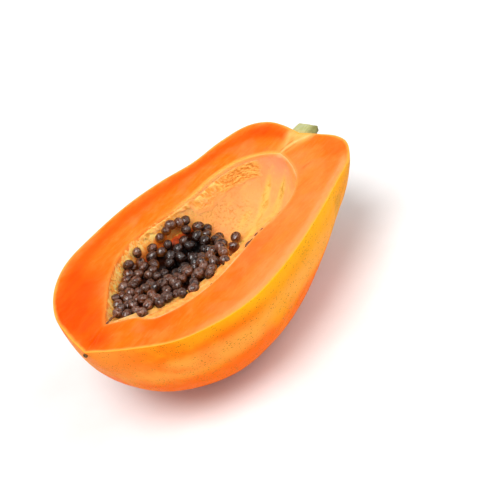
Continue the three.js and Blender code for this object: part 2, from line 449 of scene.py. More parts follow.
flesh = {
    "deepBand": {"share": 0.3, "reach": 0.2, "along": (-104, -70), "amount": 0.75},
    "deep": [  # patches: centre, two reaches and amount
        (91, -35, 8, 9, 0.5), (97, -25, 8, 6, 0.4), (97, 26, 12, 9, 0.3), (-86, 20, 20, 22, 0.9),
        (-66, 41, 24, 14, 0.9), (-70, -27, 20, 8, 0.6), (-33, -48, 30, 6, 0.3), (2, -42, 22, 5, 0.3),
        (-98, -2, 9, 9, 0.7),
    ],
    # the pale band and pale patches, all on the right side, are partly the flesh's salmon, partly
    # painted sheen
    "paleSheenBand": {"gap": 2.8, "reach": 2.7, "from": (-88, -50), "to": (78, 92), "amount": 0.95},
    "pale": [
        (40, -46, 34, 12, 0.4), (66, -22, 12, 9, 0.35), (70, -36, 14, 8, 0.1),
        (-16, -60, 40, 7, 0.5), (80, -14, 8, 8, 0.4),
    ],
    "funnel": {  # the yellow wedge between the cavity and the stem
        "from": 79, "slant": 0.06, "open": 84, "spread": 0.28, "soft": (1, 8), "along": (72, 88),
    },
    # the creases are drawn darker, as painted shade
    "creaseShadeLines": [  # strokes: two ends and half width
        (-104, -4, -93, 1, 0.5), (-101, -9, -92, -8, 0.6), (-97, 4, -88, 6, 0.5),
        (-86, 3, -84, 4.2, 0.4), (81, 0.6, 87, 0.8, 0.5), (87, 0.8, 92, -0.6, 0.5),
        (82, -2.4, 90, -4.4, 0.6), (70, -24, 76, -26, 0.6),
    ],
    "leftSeam": [(98.9, 6.1, 92.3, 2.9, 0.9), (92.3, 2.9, 85.4, 0.6, 0.8)],
    "rightSeam": [
        (100.8, -8.6, 97, -6.2, 1.0), (97, -6.2, 92, -2.8, 0.9), (92, -2.8, 86, -0.8, 0.8),
        (86, -0.8, 79.5, -0.3, 0.7),
    ],
    "seamStrength": (0.4, 0.9),
    "green": {"at": (100.5, -1.5), "reach": (5.6, 9)},
}


def fleshFields(points, fromRim, fromCore):
    # how deep, pale, yellow, creased, seamed and green the cut face is, each from 0 to 1, and
    # where it is on the left. The pale band and patches on the right are partly painted sheen, and
    # the creases painted shade. A band is a bell curve of the way across the face
    x, y = points[..., 0], points[..., 1]
    left = ease(y, -6, 6)
    deepBand, paleSheenBand = flesh["deepBand"], flesh["paleSheenBand"]
    share = fromRim / np.maximum(fromRim + fromCore, 1e-6)
    deep = np.exp(-(((share - deepBand["share"]) / deepBand["reach"]) ** 2)) * left
    deep = deepBand["amount"] * (deep * ease(x, *deepBand["along"])) + bells(points, flesh["deep"])
    pale = np.exp(-(((fromRim - paleSheenBand["gap"]) / paleSheenBand["reach"]) ** 2)) * (1 - left)
    pale = pale * ease(x, *paleSheenBand["from"]) * (1 - ease(x, *paleSheenBand["to"]))
    pale = paleSheenBand["amount"] * pale + bells(points, flesh["pale"])
    funnel = flesh["funnel"]
    aside = np.abs(y + funnel["slant"] * (x - funnel["from"]))
    aside = aside - funnel["spread"] * np.clip(x - funnel["open"], 0, None)
    yellow = (1 - ease(aside, *funnel["soft"])) * ease(x, *funnel["along"])
    seams = (strokes(points, flesh[key]) for key in ("leftSeam", "rightSeam"))
    seam = np.maximum(*(strength * line for strength, line in zip(flesh["seamStrength"], seams)))
    (gx, gy), (rx, ry) = flesh["green"]["at"], flesh["green"]["reach"]
    return {
        "deep": np.clip(deep, 0, 1),
        "pale": np.clip(pale, 0, 1),
        "yellow": yellow,
        "crease": strokes(points, flesh["creaseShadeLines"]),
        "seam": seam,
        "green": np.exp(-(((x - gx) / rx) ** 2) - ((y - gy) / ry) ** 4),
        "leftHand": ease(y, -3, 5),
    }


def steadyAt(points, along, quiet):
    # 1 where waves have their full height, and 0 at the cut and at both ends
    below = ease(-points[..., 2], *quiet["below"])
    return below * ease(along, *quiet["start"]) * (1 - ease(along, *quiet["end"]))


def liningRelief(lining, along, place):
    # waves, broad ridges near the stem and a lumpy shelf, in mm. It fades to nothing at the cut
    # and at both ends
    ridge = bells(lining, half["ridges"])
    relief = grains(lining, half["liningWaves"])
    relief = relief + ridge * grains(lining, half["ridgeWaves"], half["ridgeHeight"])
    relief = relief + (1 - ease(place, *half["lumpyFrom"])) * grains(lining, half["shelfLumps"])
    return relief * steadyAt(lining, along, half["liningQuiet"]), ridge


def inwardNormals(lining):
    # out of the lining into the cavity, towards a place above its middle
    return turnedTo(gridNormals(lining), lining, (0, 0, 8))


def wayIn(side, along):
    # from the fruit's outline to the cavity's edge on one side
    return curveAt(cavity[side], along) - curveAt(fruit[side], along)


def closedLine(outline):
    # down the left of an outline and back up its right
    t = np.linspace(0, 1, half["edgePoints"])
    return np.concatenate([curveAt(outline["left"], t), curveAt(outline["right"], t)[::-1]])


def bunched(sides, amount):
    # from 0 to 1 in steps that are smaller at both ends: t less a share of a sine wave
    t = np.linspace(0, 1, sides + 1)
    return t - amount * np.sin(2 * math.pi * t) / (2 * math.pi)


def bentEdge(points, ways, radius):
    # the top of the peel or the lining, rounded over to the cut face, and the depth below it
    down = np.maximum(-points[..., 2], 0)
    inset, lower = roundOver(np.zeros_like(down), down, radius)
    points = points + withHeight(unit(ways)) * inset[..., None]
    points[..., 2] = np.where(down < radius, -lower, points[..., 2])
    return points, down


def faceSheet(side, along):
    # the cut face on one side: it has the knife's waves, a crease by the tip and two round edges
    outline, way = curveAt(fruit[side], along), wayIn(side, along)
    share = bunched(half["faceSides"], half["faceBunch"])[None]
    if side == "left":
        share = share[:, ::-1]
    points = withHeight(outline + way * share[..., None])
    fromRim, fromCore = gapTo(points, closedLine(fruit)), gapTo(points, closedLine(cavity))
    quiet = ease(fromRim, *half["faceQuiet"]) * ease(fromCore, *half["faceQuiet"])
    wave, crease = grains(points, half["cutWaves"]), half["crease"]
    x, y = points[..., 0], points[..., 1]
    aside = y - crease["at"][1] - crease["slant"] * (x - crease["at"][0])
    groove = np.exp(-((aside / crease["width"]) ** 2)) * (1 - ease(x, *crease["ends"]))
    points[..., 2] += (wave - crease["deep"] * groove) * quiet
    toCore, length = withHeight(unit(way)), np.linalg.norm(way, axis=-1)
    for heading, gap, radius in ((1, share, "rimRadius"), (-1, 1 - share, "coreRadius")):
        inset, lower = roundOver(gap * length, 0 * gap, half[radius])
        points = points + heading * toCore * (inset - gap * length)[..., None]
        points[..., 2] -= lower
    return points, fromRim, fromCore


def peelSheet(along):
    # the peel from its left edge round underneath to its right edge, with its points closer
    # together by the edges
    even = np.linspace(0, 1, half["skinSides"] + 1)[None]
    straight, rounded = half["peelBunch"]
    around = math.pi * (straight * even + rounded * (1 - np.cos(math.pi * even)) / 2)
    skin = skinPoints(along, around)
    steady = steadyAt(skin, along, half["peelQuiet"])
    outward = -turnedTo(gridNormals(skin), skin, (0, 0, 20))
    skin = skin + outward * (grains(skin, half["swell"]) * steady)[..., None]
    leftward = (around < math.pi / 2)[..., None]
    ways = np.where(leftward, wayIn("left", along), wayIn("right", along))
    return bentEdge(skin, ways, half["rimRadius"])


def liningSheet(along):
    # the lining from its right edge over the shelf and the deep wall to its left edge
    onShelf = (1 - np.cos(math.pi * np.linspace(0, 1, half["shelfSides"] + 1)[:-1])) / 2 - 1
    onWall = bunched(half["wallSides"], half["wallBunch"])
    place = np.concatenate([onShelf, onWall])[None]
    lining = liningPoints(along, place)
    relief, ridge = liningRelief(lining, along, place)
    lining = lining + inwardNormals(lining) * relief[..., None]
    leftward = (place > 0.5)[..., None]
    ways = -np.where(leftward, wayIn("left", along), wayIn("right", along))
    lining, down = bentEdge(lining, ways, half["coreRadius"])
    return lining, down, place, ridge


def papayaHalf(materials):
    # one closed loop at each row: the peel from the left edge round to the right edge, the right
    # of the cut face, the lining, and the left of the cut face. The lowest points are pressed flat
    along = np.linspace(0, 1, half["rows"])[:, None]
    peel, below = peelSheet(along)
    lining, sunk, place, ridge = liningSheet(along)
    far = 99.0  # mm, where a distance doesn't matter
    sheets = [
        (peel, -below, far, 0.0, 0.0),
        (*faceSheet("right", along), 0.0, 0.0),
        (lining, far, -sunk, place, ridge),
        (*faceSheet("left", along), 0.0, 0.0),
    ]
    parts, fields = [], []
    for points, fromRim, fromCore, acrossLining, onRidge in sheets:
        parts.append(points[:, :-1])
        own = {"fromRim": fromRim, "fromCore": fromCore, "place": acrossLining, "ridge": onRidge}
        own.update(fleshFields(points, np.abs(fromRim), np.abs(fromCore)))
        shape = points.shape[:-1]
        fields.append({key: np.broadcast_to(value, shape)[:, :-1] for key, value in own.items()})
    values = {key: np.concatenate([own[key] for own in fields], 1) for key in fields[0]}
    points = toRow(np.concatenate(parts, 1))
    points[..., 2] = np.maximum(points[..., 2], 0)
    values["along"] = np.broadcast_to(along, points.shape[:-1])
    widths = [part.shape[1] for part in parts]
    quads = gridQuads(half["rows"], sum(widths), wrap=True)
    slots = np.tile(np.repeat([0, 1, 2, 1], widths), half["rows"] - 1)
    return buildMesh("papayaHalf", points, quads, materials, slots, values)


peelTones = tones(
    0.88, golden="fba00c", red="ff7008", light="fda81c", peach="ffac4c", rim="fdae12", tip="fd9034",
    brown="cc7404", green="b0900e", speck="8e640c", fineSpeck="a87010",
)


def peelMaterial():
    # satin yellow-orange peel: redder at the blossom end and low down, browner at the shoulder,
    # with fine specks
    make, finish = startMaterial("papayaPeel", {
        "Subsurface Weight": 0.1, "Subsurface Radius": (0.9, 0.3, 0.05), "Subsurface Scale": 0.005,
        "Coat Weight": 0.015, "Coat Roughness": 0.3, "Specular IOR Level": 0.02,
    })
    even, long = mapped(make), mapped(make, (0.35, 1, 1))
    along, below = field(make, "along"), field(make, "fromRim")
    cloud, wide = noise(make, long, 14, 4), noise(make, even, 40, 2)
    red = plus(make, rise(make, along, 0.56, 0.86), rise(make, below, -20, -44, 0, 0.9))
    red = plus(make, red, rise(make, wide, 0.35, 0.65, -0.25, 0.25))
    light = times(make, rise(make, cloud, 0.4, 0.68, 0, 0.5), rise(make, below, -44, -24, 0.3, 1))
    peach = times(make, rise(make, below, -9, -18), rise(make, below, -36, -24))
    peach = times(make, peach, rise(make, plus(make, wide, cloud), 0.75, 1.15, 0.1, 0.65))
    peach = times(make, peach, rise(make, along, 0.3, 0.5))
    rim = times(make, rise(make, below, -11, -1, 0, 0.8), rise(make, along, 0.92, 0.72))
    rim = times(make, rim, rise(make, along, 0.12, 0.35, 0.2, 1))
    tip = times(make, rise(make, along, 0.86, 0.97), rise(make, wide, 0.3, 0.6, 0.5, 1))
    brown = rise(make, noise(make, long, 8, 5, 0.6), 0.42, 0.6, 0.4, 1)
    brown = times(make, rise(make, along, 0.44, 0.2), brown, 0.9)
    green = rise(make, noise(make, even, 19, 3, 0.6), 0.54, 0.72)
    green = times(make, green, rise(make, along, 0.75, 0.3), 0.42)
    where = rise(make, noise(make, even, 10, 4), 0.38, 0.6, 0.15, 1)

    def specks(place, perMetre, reach):
        cell = make("TexVoronoi", {"Vector": place, "Scale": perMetre, "Randomness": 1})
        return times(make, rise(make, cell, reach, 0.14), where)

    dots, fineDots = specks(mapped(make, (0.55, 1, 1)), 700, 0.3), specks(even, 1100, 0.34)
    colour = layers(
        make, peelTones["golden"], peelTones, red=rise(make, red, 0, 1), light=light, peach=peach,
        rim=rim, tip=tip, brown=brown, green=green, speck=times(make, dots, 0.75),
        fineSpeck=times(make, fineDots, 0.6),
    )
    roughness = rise(make, noise(make, even, 6, 4), 0.3, 0.7, 0.38, 0.54)
    height = plus(make, noise(make, even, 1.1, 4, 0.6), times(make, dots, -0.4))
    return finish(colour, roughness, height, 0.00012)


# pale is partly the flesh's salmon, partly painted sheen; crease is painted shade in the creases
fleshTones = tones(
    0.8, orange="ff700a", lighter="ff7e1c", deep="ff4a00", mottle="ff8c3c", blush="ff8048",
    pale="ff9c58", yellow="fab45c", green="dcc26a", crease="d8601c", seam="ffcf84", lip="ffaa5c",
    leftLip="ffac48", dash="ffa256", notch="f45c08", underPeel="ffac50", peelLine="fdae40",
)


def fleshMaterial():
    # wet cut flesh: red-orange and salmon fields with fibres drawn out along the fruit. The paler
    # salmon on the right side is partly painted sheen, and the darker creases are painted shade
    make, finish = startMaterial("papayaFlesh", {
        "Subsurface Weight": 0.35, "Subsurface Radius": (1.0, 0.22, 0.05), "Subsurface Scale": 0.006,
        "Coat Weight": 0.01, "Coat Roughness": 0.25, "Specular IOR Level": 0.02,
    })

    def pattern(stretch, *settings):
        return noise(make, mapped(make, (stretch, 1, 1)), *settings)

    streak, cloud, fine = pattern(0.28, 3.6, 5, 0.6), pattern(0.5, 13, 4), pattern(0.28, 1.1, 3)
    along, fromRim, fromCore = (field(make, key) for key in ("along", "fromRim", "fromCore"))
    leftHand = field(make, "leftHand")
    deep = rise(make, plus(make, cloud, streak), 0.7, 1.2, 0.75, 1.05)
    deep = times(make, field(make, "deep"), deep)
    plain = rise(make, field(make, "deep"), 0.25, 0.8, 1, 0.15)  # the deep fields have fewer marks
    mottle = times(make, rise(make, pattern(0.6, 9, 5, 0.58, 0.6), 0.42, 0.70, 0, 0.5), plain)
    blush = times(make, rise(make, pattern(0.7, 17, 3, 0.5, 0.5), 0.48, 0.68, 0, 0.35), plain)
    # paler on the right side: partly the flesh's own tone, partly painted sheen
    pale = times(make, field(make, "pale"), rise(make, cloud, 0.2, 0.6, 0.6, 1.1))
    green = times(make, field(make, "green"), rise(make, fine, 0.3, 0.6, 0.5, 0.9))
    # darker along the creases: painted shade
    crease = times(make, field(make, "crease"), rise(make, streak, 0.3, 0.6, 0.4, 0.7))
    seam = times(make, field(make, "seam"), rise(make, streak, 0.3, 0.6, 0.5, 0.85))
    # the cavity's lip is paler, less so on the left side past the middle
    softly = plus(make, times(make, leftHand, rise(make, along, 0.32, 0.48, 0, -0.75)), 1)
    lip = times(make, rise(make, fromCore, 2.2, 0.4, 0, 0.55), softly)
    stemward = rise(make, along, 0.32, 0.48, 1, 0.25)
    leftLip = times(make, rise(make, fromCore, 3.4, 0.2, 0, 0.7), leftHand, stemward)
    dash = times(make, rise(make, pattern(0.2, 1.5, 4, 0.65), 0.5, 0.7, 0, 0.2), plain)
    dash = times(make, dash, rise(make, cloud, 0.35, 0.6))
    notch = rise(make, pattern(0.3, 1.9, 4, 0.65), 0.48, 0.3, 0, 0.2)
    edge = plus(make, fromRim, rise(make, pattern(1, 7, 2), 0.3, 0.7, -0.25, 0.25))
    colour = layers(
        make, fleshTones["orange"], fleshTones, lighter=rise(make, streak, 0.35, 0.65), deep=deep,
        mottle=mottle, blush=blush, pale=pale, yellow=times(make, field(make, "yellow"), 0.7),
        green=green, crease=crease, seam=seam, lip=lip, leftLip=leftLip, dash=dash, notch=notch,
        underPeel=rise(make, edge, 2.6, 0.9, 0, 0.6), peelLine=rise(make, edge, 1.2, 0.6, 0, 0.8),
    )
    roughness = rise(make, pattern(1, 2.5, 4), 0.3, 0.7, 0.3, 0.48)
    return finish(colour, roughness, plus(make, fine, pattern(1, 0.6, 2)), 0.00010)


# lip, groove and tuft are held brighter than the rest, as painted light on shaded walls
liningTones = {
    **tones(0.8, peach="ffaa64", apricot="ffb46a", funnel="ffa478", streak="ffc66c", ridge="ffc966"),
    **tones(0.8, blotch="cf9430", pit="ec8c30", hole="c8802c", deepWall="ffa850", shelf="fcaa54"),
    **tones(0.8, rind="ff7e24"),
    **tones(0.9, rightEdge="ffcc8c"),
    **tones(0.95, lip="ffa858", lowWall="ee6c1c", leftEdge="ffb45c"),
    **tones(1.0, groove="ff9c3a", tuft="ffce78"),
}


def leftWallColour(make):
    # orange and pale yellow tufts, drawn out down the wall. The tufts are the wall's own, but
    # held at full strength, above the rest of the lining, as painted light on the shaded wall
    tuft = noise(make, mapped(make, (1, 0.5, 0.5)), 2.6, 4, 0.6)
    return blend(make, rise(make, tuft, 0.38, 0.6), liningTones["groove"], liningTones["tuft"])


def wallColour(make, cloud):
    # the lining's own peach, in clouds
    return blend(make, rise(make, cloud, 0.35, 0.65), liningTones["peach"], liningTones["apricot"])


def liningMaterial():
    # pale cavity wall: peach, yellower on the ridges and by the left edge, pitted and fibrous. Its
    # brighter tones on the shaded walls, on the right by the stem and down the left, are painted light
    make, finish = startMaterial("papayaLining", {
        "Subsurface Weight": 0.5, "Subsurface Radius": (1.0, 0.45, 0.18), "Subsurface Scale": 0.008,
        "Coat Weight": 0.02, "Coat Roughness": 0.3, "Specular IOR Level": 0.04,
    })
    even, long = mapped(make), mapped(make, (0.3, 1, 1))
    cloud, streak = noise(make, even, 14, 3), noise(make, long, 3.5, 5, 0.6)
    fine = noise(make, even, 1.4, 4, 0.6)
    along, place, ridge = (field(make, key) for key in ("along", "place", "ridge"))
    fromCore, leftHand = field(make, "fromCore"), field(make, "leftHand")
    # brighter and more orange on the shaded right wall by the stem: painted light
    lip = times(make, rise(make, place, 0.3, 0.1), rise(make, along, 0.34, 0.22))
    onRidge = times(make, rise(make, ridge, 0.1, 0.8), rise(make, streak, 0.3, 0.55, 0.5, 0.95))
    blotch = rise(make, noise(make, mapped(make, (0.4, 1, 1)), 2.8, 4, 0.6, 0.4), 0.44, 0.64)
    blotch = times(make, rise(make, ridge, 0.3, 0.8, 0, 0.8), blotch)
    pit = times(make, rise(make, fine, 0.5, 0.3), rise(make, noise(make, even, 7, 3), 0.4, 0.65))
    # dark pits high on the left wall, nearer the stem
    pitted = times(make, rise(make, place, 0.5, 0.68), rise(make, along, 0.2, 0.3))
    pitted = times(make, pitted, rise(make, along, 0.42, 0.34), rise(make, fine, 0.5, 0.36, 0, 0.45))
    leftWall = times(make, rise(make, place, 0.6, 0.8), rise(make, along, 0.36, 0.5))
    lowWall = times(make, leftWall, rise(make, fromCore, -6, -13))
    lowWall = times(make, lowWall, rise(make, cloud, 0.6, 0.4, 0.2, 0.9))
    shelf = times(make, rise(make, place, 0.06, -0.06), rise(make, cloud, 0.3, 0.7, 0.6, 0.95))
    # flesh still on the first 2 mm of the left wall, with a torn lower edge
    torn = noise(make, mapped(make, (1, 0.6, 0.6)), 2.4, 4, 0.6)
    torn = plus(make, fromCore, rise(make, torn, 0.3, 0.7, -1.6, 1.6))
    rind = times(make, rise(make, torn, -2.8, -0.8, 0, 0.85), leftHand, rise(make, along, 0.34, 0.5))
    shades = {
        **liningTones,
        "leftWall": leftWallColour(make),
        "edge": blend(make, leftHand, liningTones["rightEdge"], liningTones["leftEdge"]),
    }
    colour = layers(
        make, wallColour(make, cloud), shades, funnel=rise(make, along, 0.16, 0.07, 0, 0.6), lip=lip,
        streak=rise(make, streak, 0.5, 0.72, 0, 0.45), ridge=onRidge, blotch=blotch,
        pit=times(make, pit, 0.28), hole=pitted,
        deepWall=times(make, rise(make, along, 0.40, 0.58), 0.7), leftWall=leftWall, lowWall=lowWall,
        shelf=shelf, edge=rise(make, fromCore, -3.5, -0.4, 0, 0.7), rind=rind,
    )
    roughness = rise(make, fine, 0.3, 0.7, 0.36, 0.56)
    return finish(colour, roughness, plus(make, fine, times(make, pit, -0.8)), 0.00022)


body = papayaHalf([peelMaterial(), fleshMaterial(), liningMaterial()])
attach(body, "root")
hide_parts("papaya_half")
print("papaya half built,", len(body.data.polygons), "faces")


seeds = {
    "halfLength": 3.5, "halfWidth": 3.0, "sizes": (0.9, 0.2),  # mm, and the least size and its range
    "wrinkles": [(0.07, 0.9, 31)], "fineWrinkles": [(0.025, 0.2, 33)],
    "folds": {"size": (0.8, 0.36, 0.36), "seed": 32, "deep": 0.22, "wide": 0.32},
    "fullness": 1.02, "pointed": 0.05,  # the radius before the folds, and what a seed's tip adds
    "start": 122, "throws": 12000, "spacing": 5.6, "lift": 3, "widest": 0.97, "clear": 1.6,
    "slope": (-14, -4), "slopeSpacing": 0.4,  # mm past the toe, and mm more between seeds there
    "loose": [(0.359, 0.336, 0.3), (0.392, 0.19, -0.9)],  # share along, place across, turn
    "looseClear": 7.5, "looseRise": 3.6,
    "resting": [  # listed one by one: the left wall, the heap's foot, the shelf's edge and the tip, in mm
        (16, 28, -8), (12, 29.5, -7), (7, 31, -5), (3, 32, -6.5), (-2.5, 33, -8), (-10, 34, -10),
        (-20, 36, -6), (-22, 34, -11), (-31, 34, -6), (-35, 32, -9), (-40, 29.5, -9.5),
        (-43.5, 26.5, -13), (-52, 22.5, -10), (-61.5, 16.5, -7),
        (24, 22, -19), (24.5, 15.5, -25), (12, 1, -27.5),
        (-42.0, -27.0, -1.2), (-47.0, -22.6, -1.4), (-52.0, -16.0, -1.8), (-54.0, -9.0, -3.4),
        (-61.6, -9.0, -1.6), (-68.5, -10.6, -0.9), (-61.4, 3.9, -4.4), (-65.8, 9.6, -4.6),
        (-71.5, 6.4, -2.8), (-27.5, -27.0, -2.4), (-14.5, -28.6, -2.6), (-36.0, -22.0, -3.2),
        (-58.0, -15.0, -1.2), (-22.0, -24.0, -3.6),
    ],
    "restingSize": 0.98, "restingStart": 3,
    "floorGap": 2.0,  # mm that an eased seed's middle stays above the wall
    "fine": {"rings": 15, "sides": 24, "seed": 51},
    "looseFine": {"rings": 24, "sides": 36, "seed": 53},
    "underFine": {"rings": 8, "sides": 12, "seed": 52},
    "under": {
        "start": 7, "throws": 5000, "drop": 4.4, "spacing": 5.2,
        "size": 0.9, "fromLeft": 11, "pastToe": -5, "looseRoom": 12.4, "edgePoints": 200,
    },
    "apart": 6.1, "easeTurns": 24, "easeShare": 0.22,  # eased to this many mm between centres
    # darker is how much of the hollow's painted shade a seed takes; the under ones' values are painted
    # shade
    "toneSeed": 61, "tone": (0.35, 0.65), "darker": 0.9, "underTone": 0.25, "underLightFacing": 0.5,
    "amberAlong": (-34, -18), "amberShare": (0.04, 0.5), "amber": (0.35, 0.95),
    "looseRoom": 7.6,  # mm kept clear round a loose seed
    # facing points towards the light and camera, the side that takes the seeds' painted highlight
    "facing": (-0.30, -0.36, 0.883),  # up and to the near side
}
heap = {  # mm, and mm of fall or slant for each mm across
    "top": -5, "lean": 0.1, "dish": 12, "dishAt": (-8, 10), "dishReach": (28, 17),
    "toe": 4.5, "toeSlant": 0.36, "fall": 0.1,
    "sideToe": 11, "sideSlant": 0.9, "sideFall": 0.5, "sideEnd": 13,
    "sidePlane": (0.65, 0.16, 0.74), "sideLow": -13.5,
    # the last three set the painted shade of the hollow: how strong, where and how far
    "gloom": 1.4, "gloomAt": (-6, 11), "gloomReach": (28, 17),
}
bed = {
    "low": (-86, -40), "high": (44, 42), "points": (150, 96), "wallPoints": (300, 200),
    "drop": 3.8, "thin": 2.0, "intoWall": 1.5, "underWall": 0.6,  # mm
    "waves": [(1.0, 3.4, 41), (0.35, 1.3, 42)],
    "bare": (9.5, 13),  # mm past the side's line, where the bed turns to bare orange pulp
    "thickest": 40, "bareThick": 2.4,  # mm
}


def pastSide(x, y):
    # how far along a place is from a slanting line down the heap's side
    return x - heap["sideSlant"] * y


def pastToe(x, y):
    # and from a slanting line at its toe
    return x - heap["toeSlant"] * y


def bellOver(x, y, at, reach):
    # a bell curve of the distance over the reach
    dx, dy = (x - at[0]) / reach[0], (y - at[1]) / reach[1]
    return np.exp(-dx * dx - dy * dy)


def heapHeight(x, y):
    # a leaning top, less a bell-shaped dish, less squares of the ways past the toe and the side
    past = np.maximum(0, pastToe(x, y) - heap["toe"])
    aside = np.maximum(0, pastSide(x, y) - heap["sideToe"])
    fallen = heap["fall"] * past * past + heap["sideFall"] * aside * aside
    dish = heap["dish"] * bellOver(x, y, heap["dishAt"], heap["dishReach"])
    return heap["top"] - heap["lean"] * y - dish - fallen


def onHeap(places):
    # short of the heap's side, or below a plane that rises away from the side
    x, y, z = places.T
    a, b, c = heap["sidePlane"]
    return (pastSide(x, y) < heap["sideEnd"]) | (a * x + b * y + c * z < heap["sideLow"])


def gloomAt(x, y):
    # the painted shade of the dark hollow: a bell curve over the dish, cut off at 1
    return np.clip(heap["gloom"] * bellOver(x, y, heap["gloomAt"], heap["gloomReach"]), 0, 1)


def draws(start, count):
    # a linear congruential rule: the last number times 1664525 plus 1013904223, within 32 bits
    state, found = start, np.empty(count)
    for k in range(count):
        state = (state * 1664525 + 1013904223) & 0xFFFFFFFF
        found[k] = state / 4294967296
    return found


def loosePlaces():
    # where the loose seeds lie on the deep wall, and how they are turned
    along, across, turn = np.array(seeds["loose"]).T
    wall = wallPoints(along, np.arccos(across))
    inward = unit(-wall * np.array([0, 1, 1]))
    angles = np.stack([np.arctan2(wall[:, 1], -wall[:, 2]), 0 * turn, turn], -1)
    return wall + inward * seeds["looseRise"], angles


def gapToLoose(places):
    # the distance to the nearest loose seed
    return np.linalg.norm(places[:, None] - loosePlaces()[0][None], axis=-1).min(1)


def throwSeeds(start, throws, drop, spacing, placed):
    # each throw lands over the heap and is kept if it is clear of the earlier ones and the wall
    throw = draws(start, throws * 6).reshape(-1, 6)
    along, across = throw[:, 0], (2 * throw[:, 1] - 1) * seeds["widest"]
    x, y, floor = wallPoints(along, np.arccos(across)).T
    z = heapHeight(x, y) - drop + (throw[:, 2] - 0.5) * seeds["lift"]
    centres = np.stack([x, y, z], -1)
    size = seeds["sizes"][0] + seeds["sizes"][1] * throw[:, 3]
    angles = np.stack([throw[:, 4], throw[:, 5], 0 * x], -1) * 2 * math.pi
    roomy = spacing + seeds["slopeSpacing"] * ease(pastToe(x, y), *seeds["slope"])
    fits = (z > floor + seeds["clear"]) & (gapToLoose(centres) > seeds["looseClear"])
    kept, taken = [], [*placed]
    for k in np.flatnonzero(fits):
        if np.linalg.norm(np.array(taken) - centres[k], axis=1).min() > roomy[k]:
            kept.append(k)
            taken.append(centres[k])
    return centres[kept], angles[kept], size[kept], floor[kept]


def easeApart(centres, floor, held):
    # pairs that are closer than they should be move apart along the line between them. The first
    # ones, as many as are held, stay
    free = (np.arange(len(centres)) >= held)[:, None]
    for _ in range(seeds["easeTurns"]):
        way = centres[:, None] - centres[None]
        gap = np.linalg.norm(way, axis=-1) + np.eye(len(centres)) * 99
        push = np.clip(seeds["apart"] - gap, 0, None)[..., None] * way / gap[..., None]
        centres = centres + seeds["easeShare"] * push.sum(1) * free
        centres[:, 2] = np.maximum(centres[:, 2], floor + seeds["floorGap"])
    return centres


def turnMatrices(angles):
    # turns about X, then Y, then Z of the seed's own axes
    turn = np.zeros((len(angles), 3, 3))
    for k, (ax, ay, az) in enumerate(angles):
        own = Matrix.Rotation(ax, 3, "X") @ Matrix.Rotation(ay, 3, "Y")
        turn[k] = own @ Matrix.Rotation(az, 3, "Z")
    return turn


def seedShapes(centres, angles, size, rings, sides, seed):
    # a unit sphere on a grid, wrinkled and folded by noises, a little pointed, and stretched,
    # turned and moved for each seed
    polar = np.linspace(0, math.pi, rings + 1)[:, None]
    spin = np.linspace(0, 2 * math.pi, sides, endpoint=False)[None]
    ball = [np.cos(polar) + 0 * spin, np.sin(polar) * np.cos(spin), np.sin(polar) * np.sin(spin)]
    ball = np.stack(ball, -1)
    where = ball[None] + np.random.default_rng(seed).uniform(0, 900, (len(centres), 1, 1, 3))
    folds = seeds["folds"]
    fold = np.clip(folds["wide"] - np.abs(grain(where, folds["size"], folds["seed"])), 0, 1)
    radius = grains(where, seeds["wrinkles"], seeds["fullness"]) - folds["deep"] * fold
    radius = grains(where, seeds["fineWrinkles"], radius)
    radius = radius + seeds["pointed"] * (ball[..., 0] * -1)[None] ** 3
    reach = np.array([seeds["halfLength"], seeds["halfWidth"], seeds["halfWidth"]])
    shaped = ball[None] * radius[..., None] * reach * size[:, None, None, None]
    points = np.einsum("kij,krsj->krsi", turnMatrices(angles), shaped) + centres[:, None, None]
    quads = gridQuads(rings + 1, sides, wrap=True)
    return points, repeated(quads, (rings + 1) * sides, len(centres))


def lightFacingOf(points, centres):
    # how far each point of a seed faces up and to the near side, towards the light and camera: 1
    # there and -1 under it. It places the seeds' painted highlight and painted shade
    return unit(points - centres[:, None, None]) @ np.array(seeds["facing"])


# vein is the pale painted highlight on the lit wrinkles; amber shows on undersides as a painted glow
seedTones = tones(0.8, black="180602", brown="7a3c1c", amber="b86010", vein="c8a088")
# the bed's brown where it lies thick and its near black in the hollow are painted shade
bedTones = {
    **tones(0.95, thin="ffb44a", orange="ee5a1e"),
    **tones(0.8, brown="3c1404", gloom="0a0503"),
}


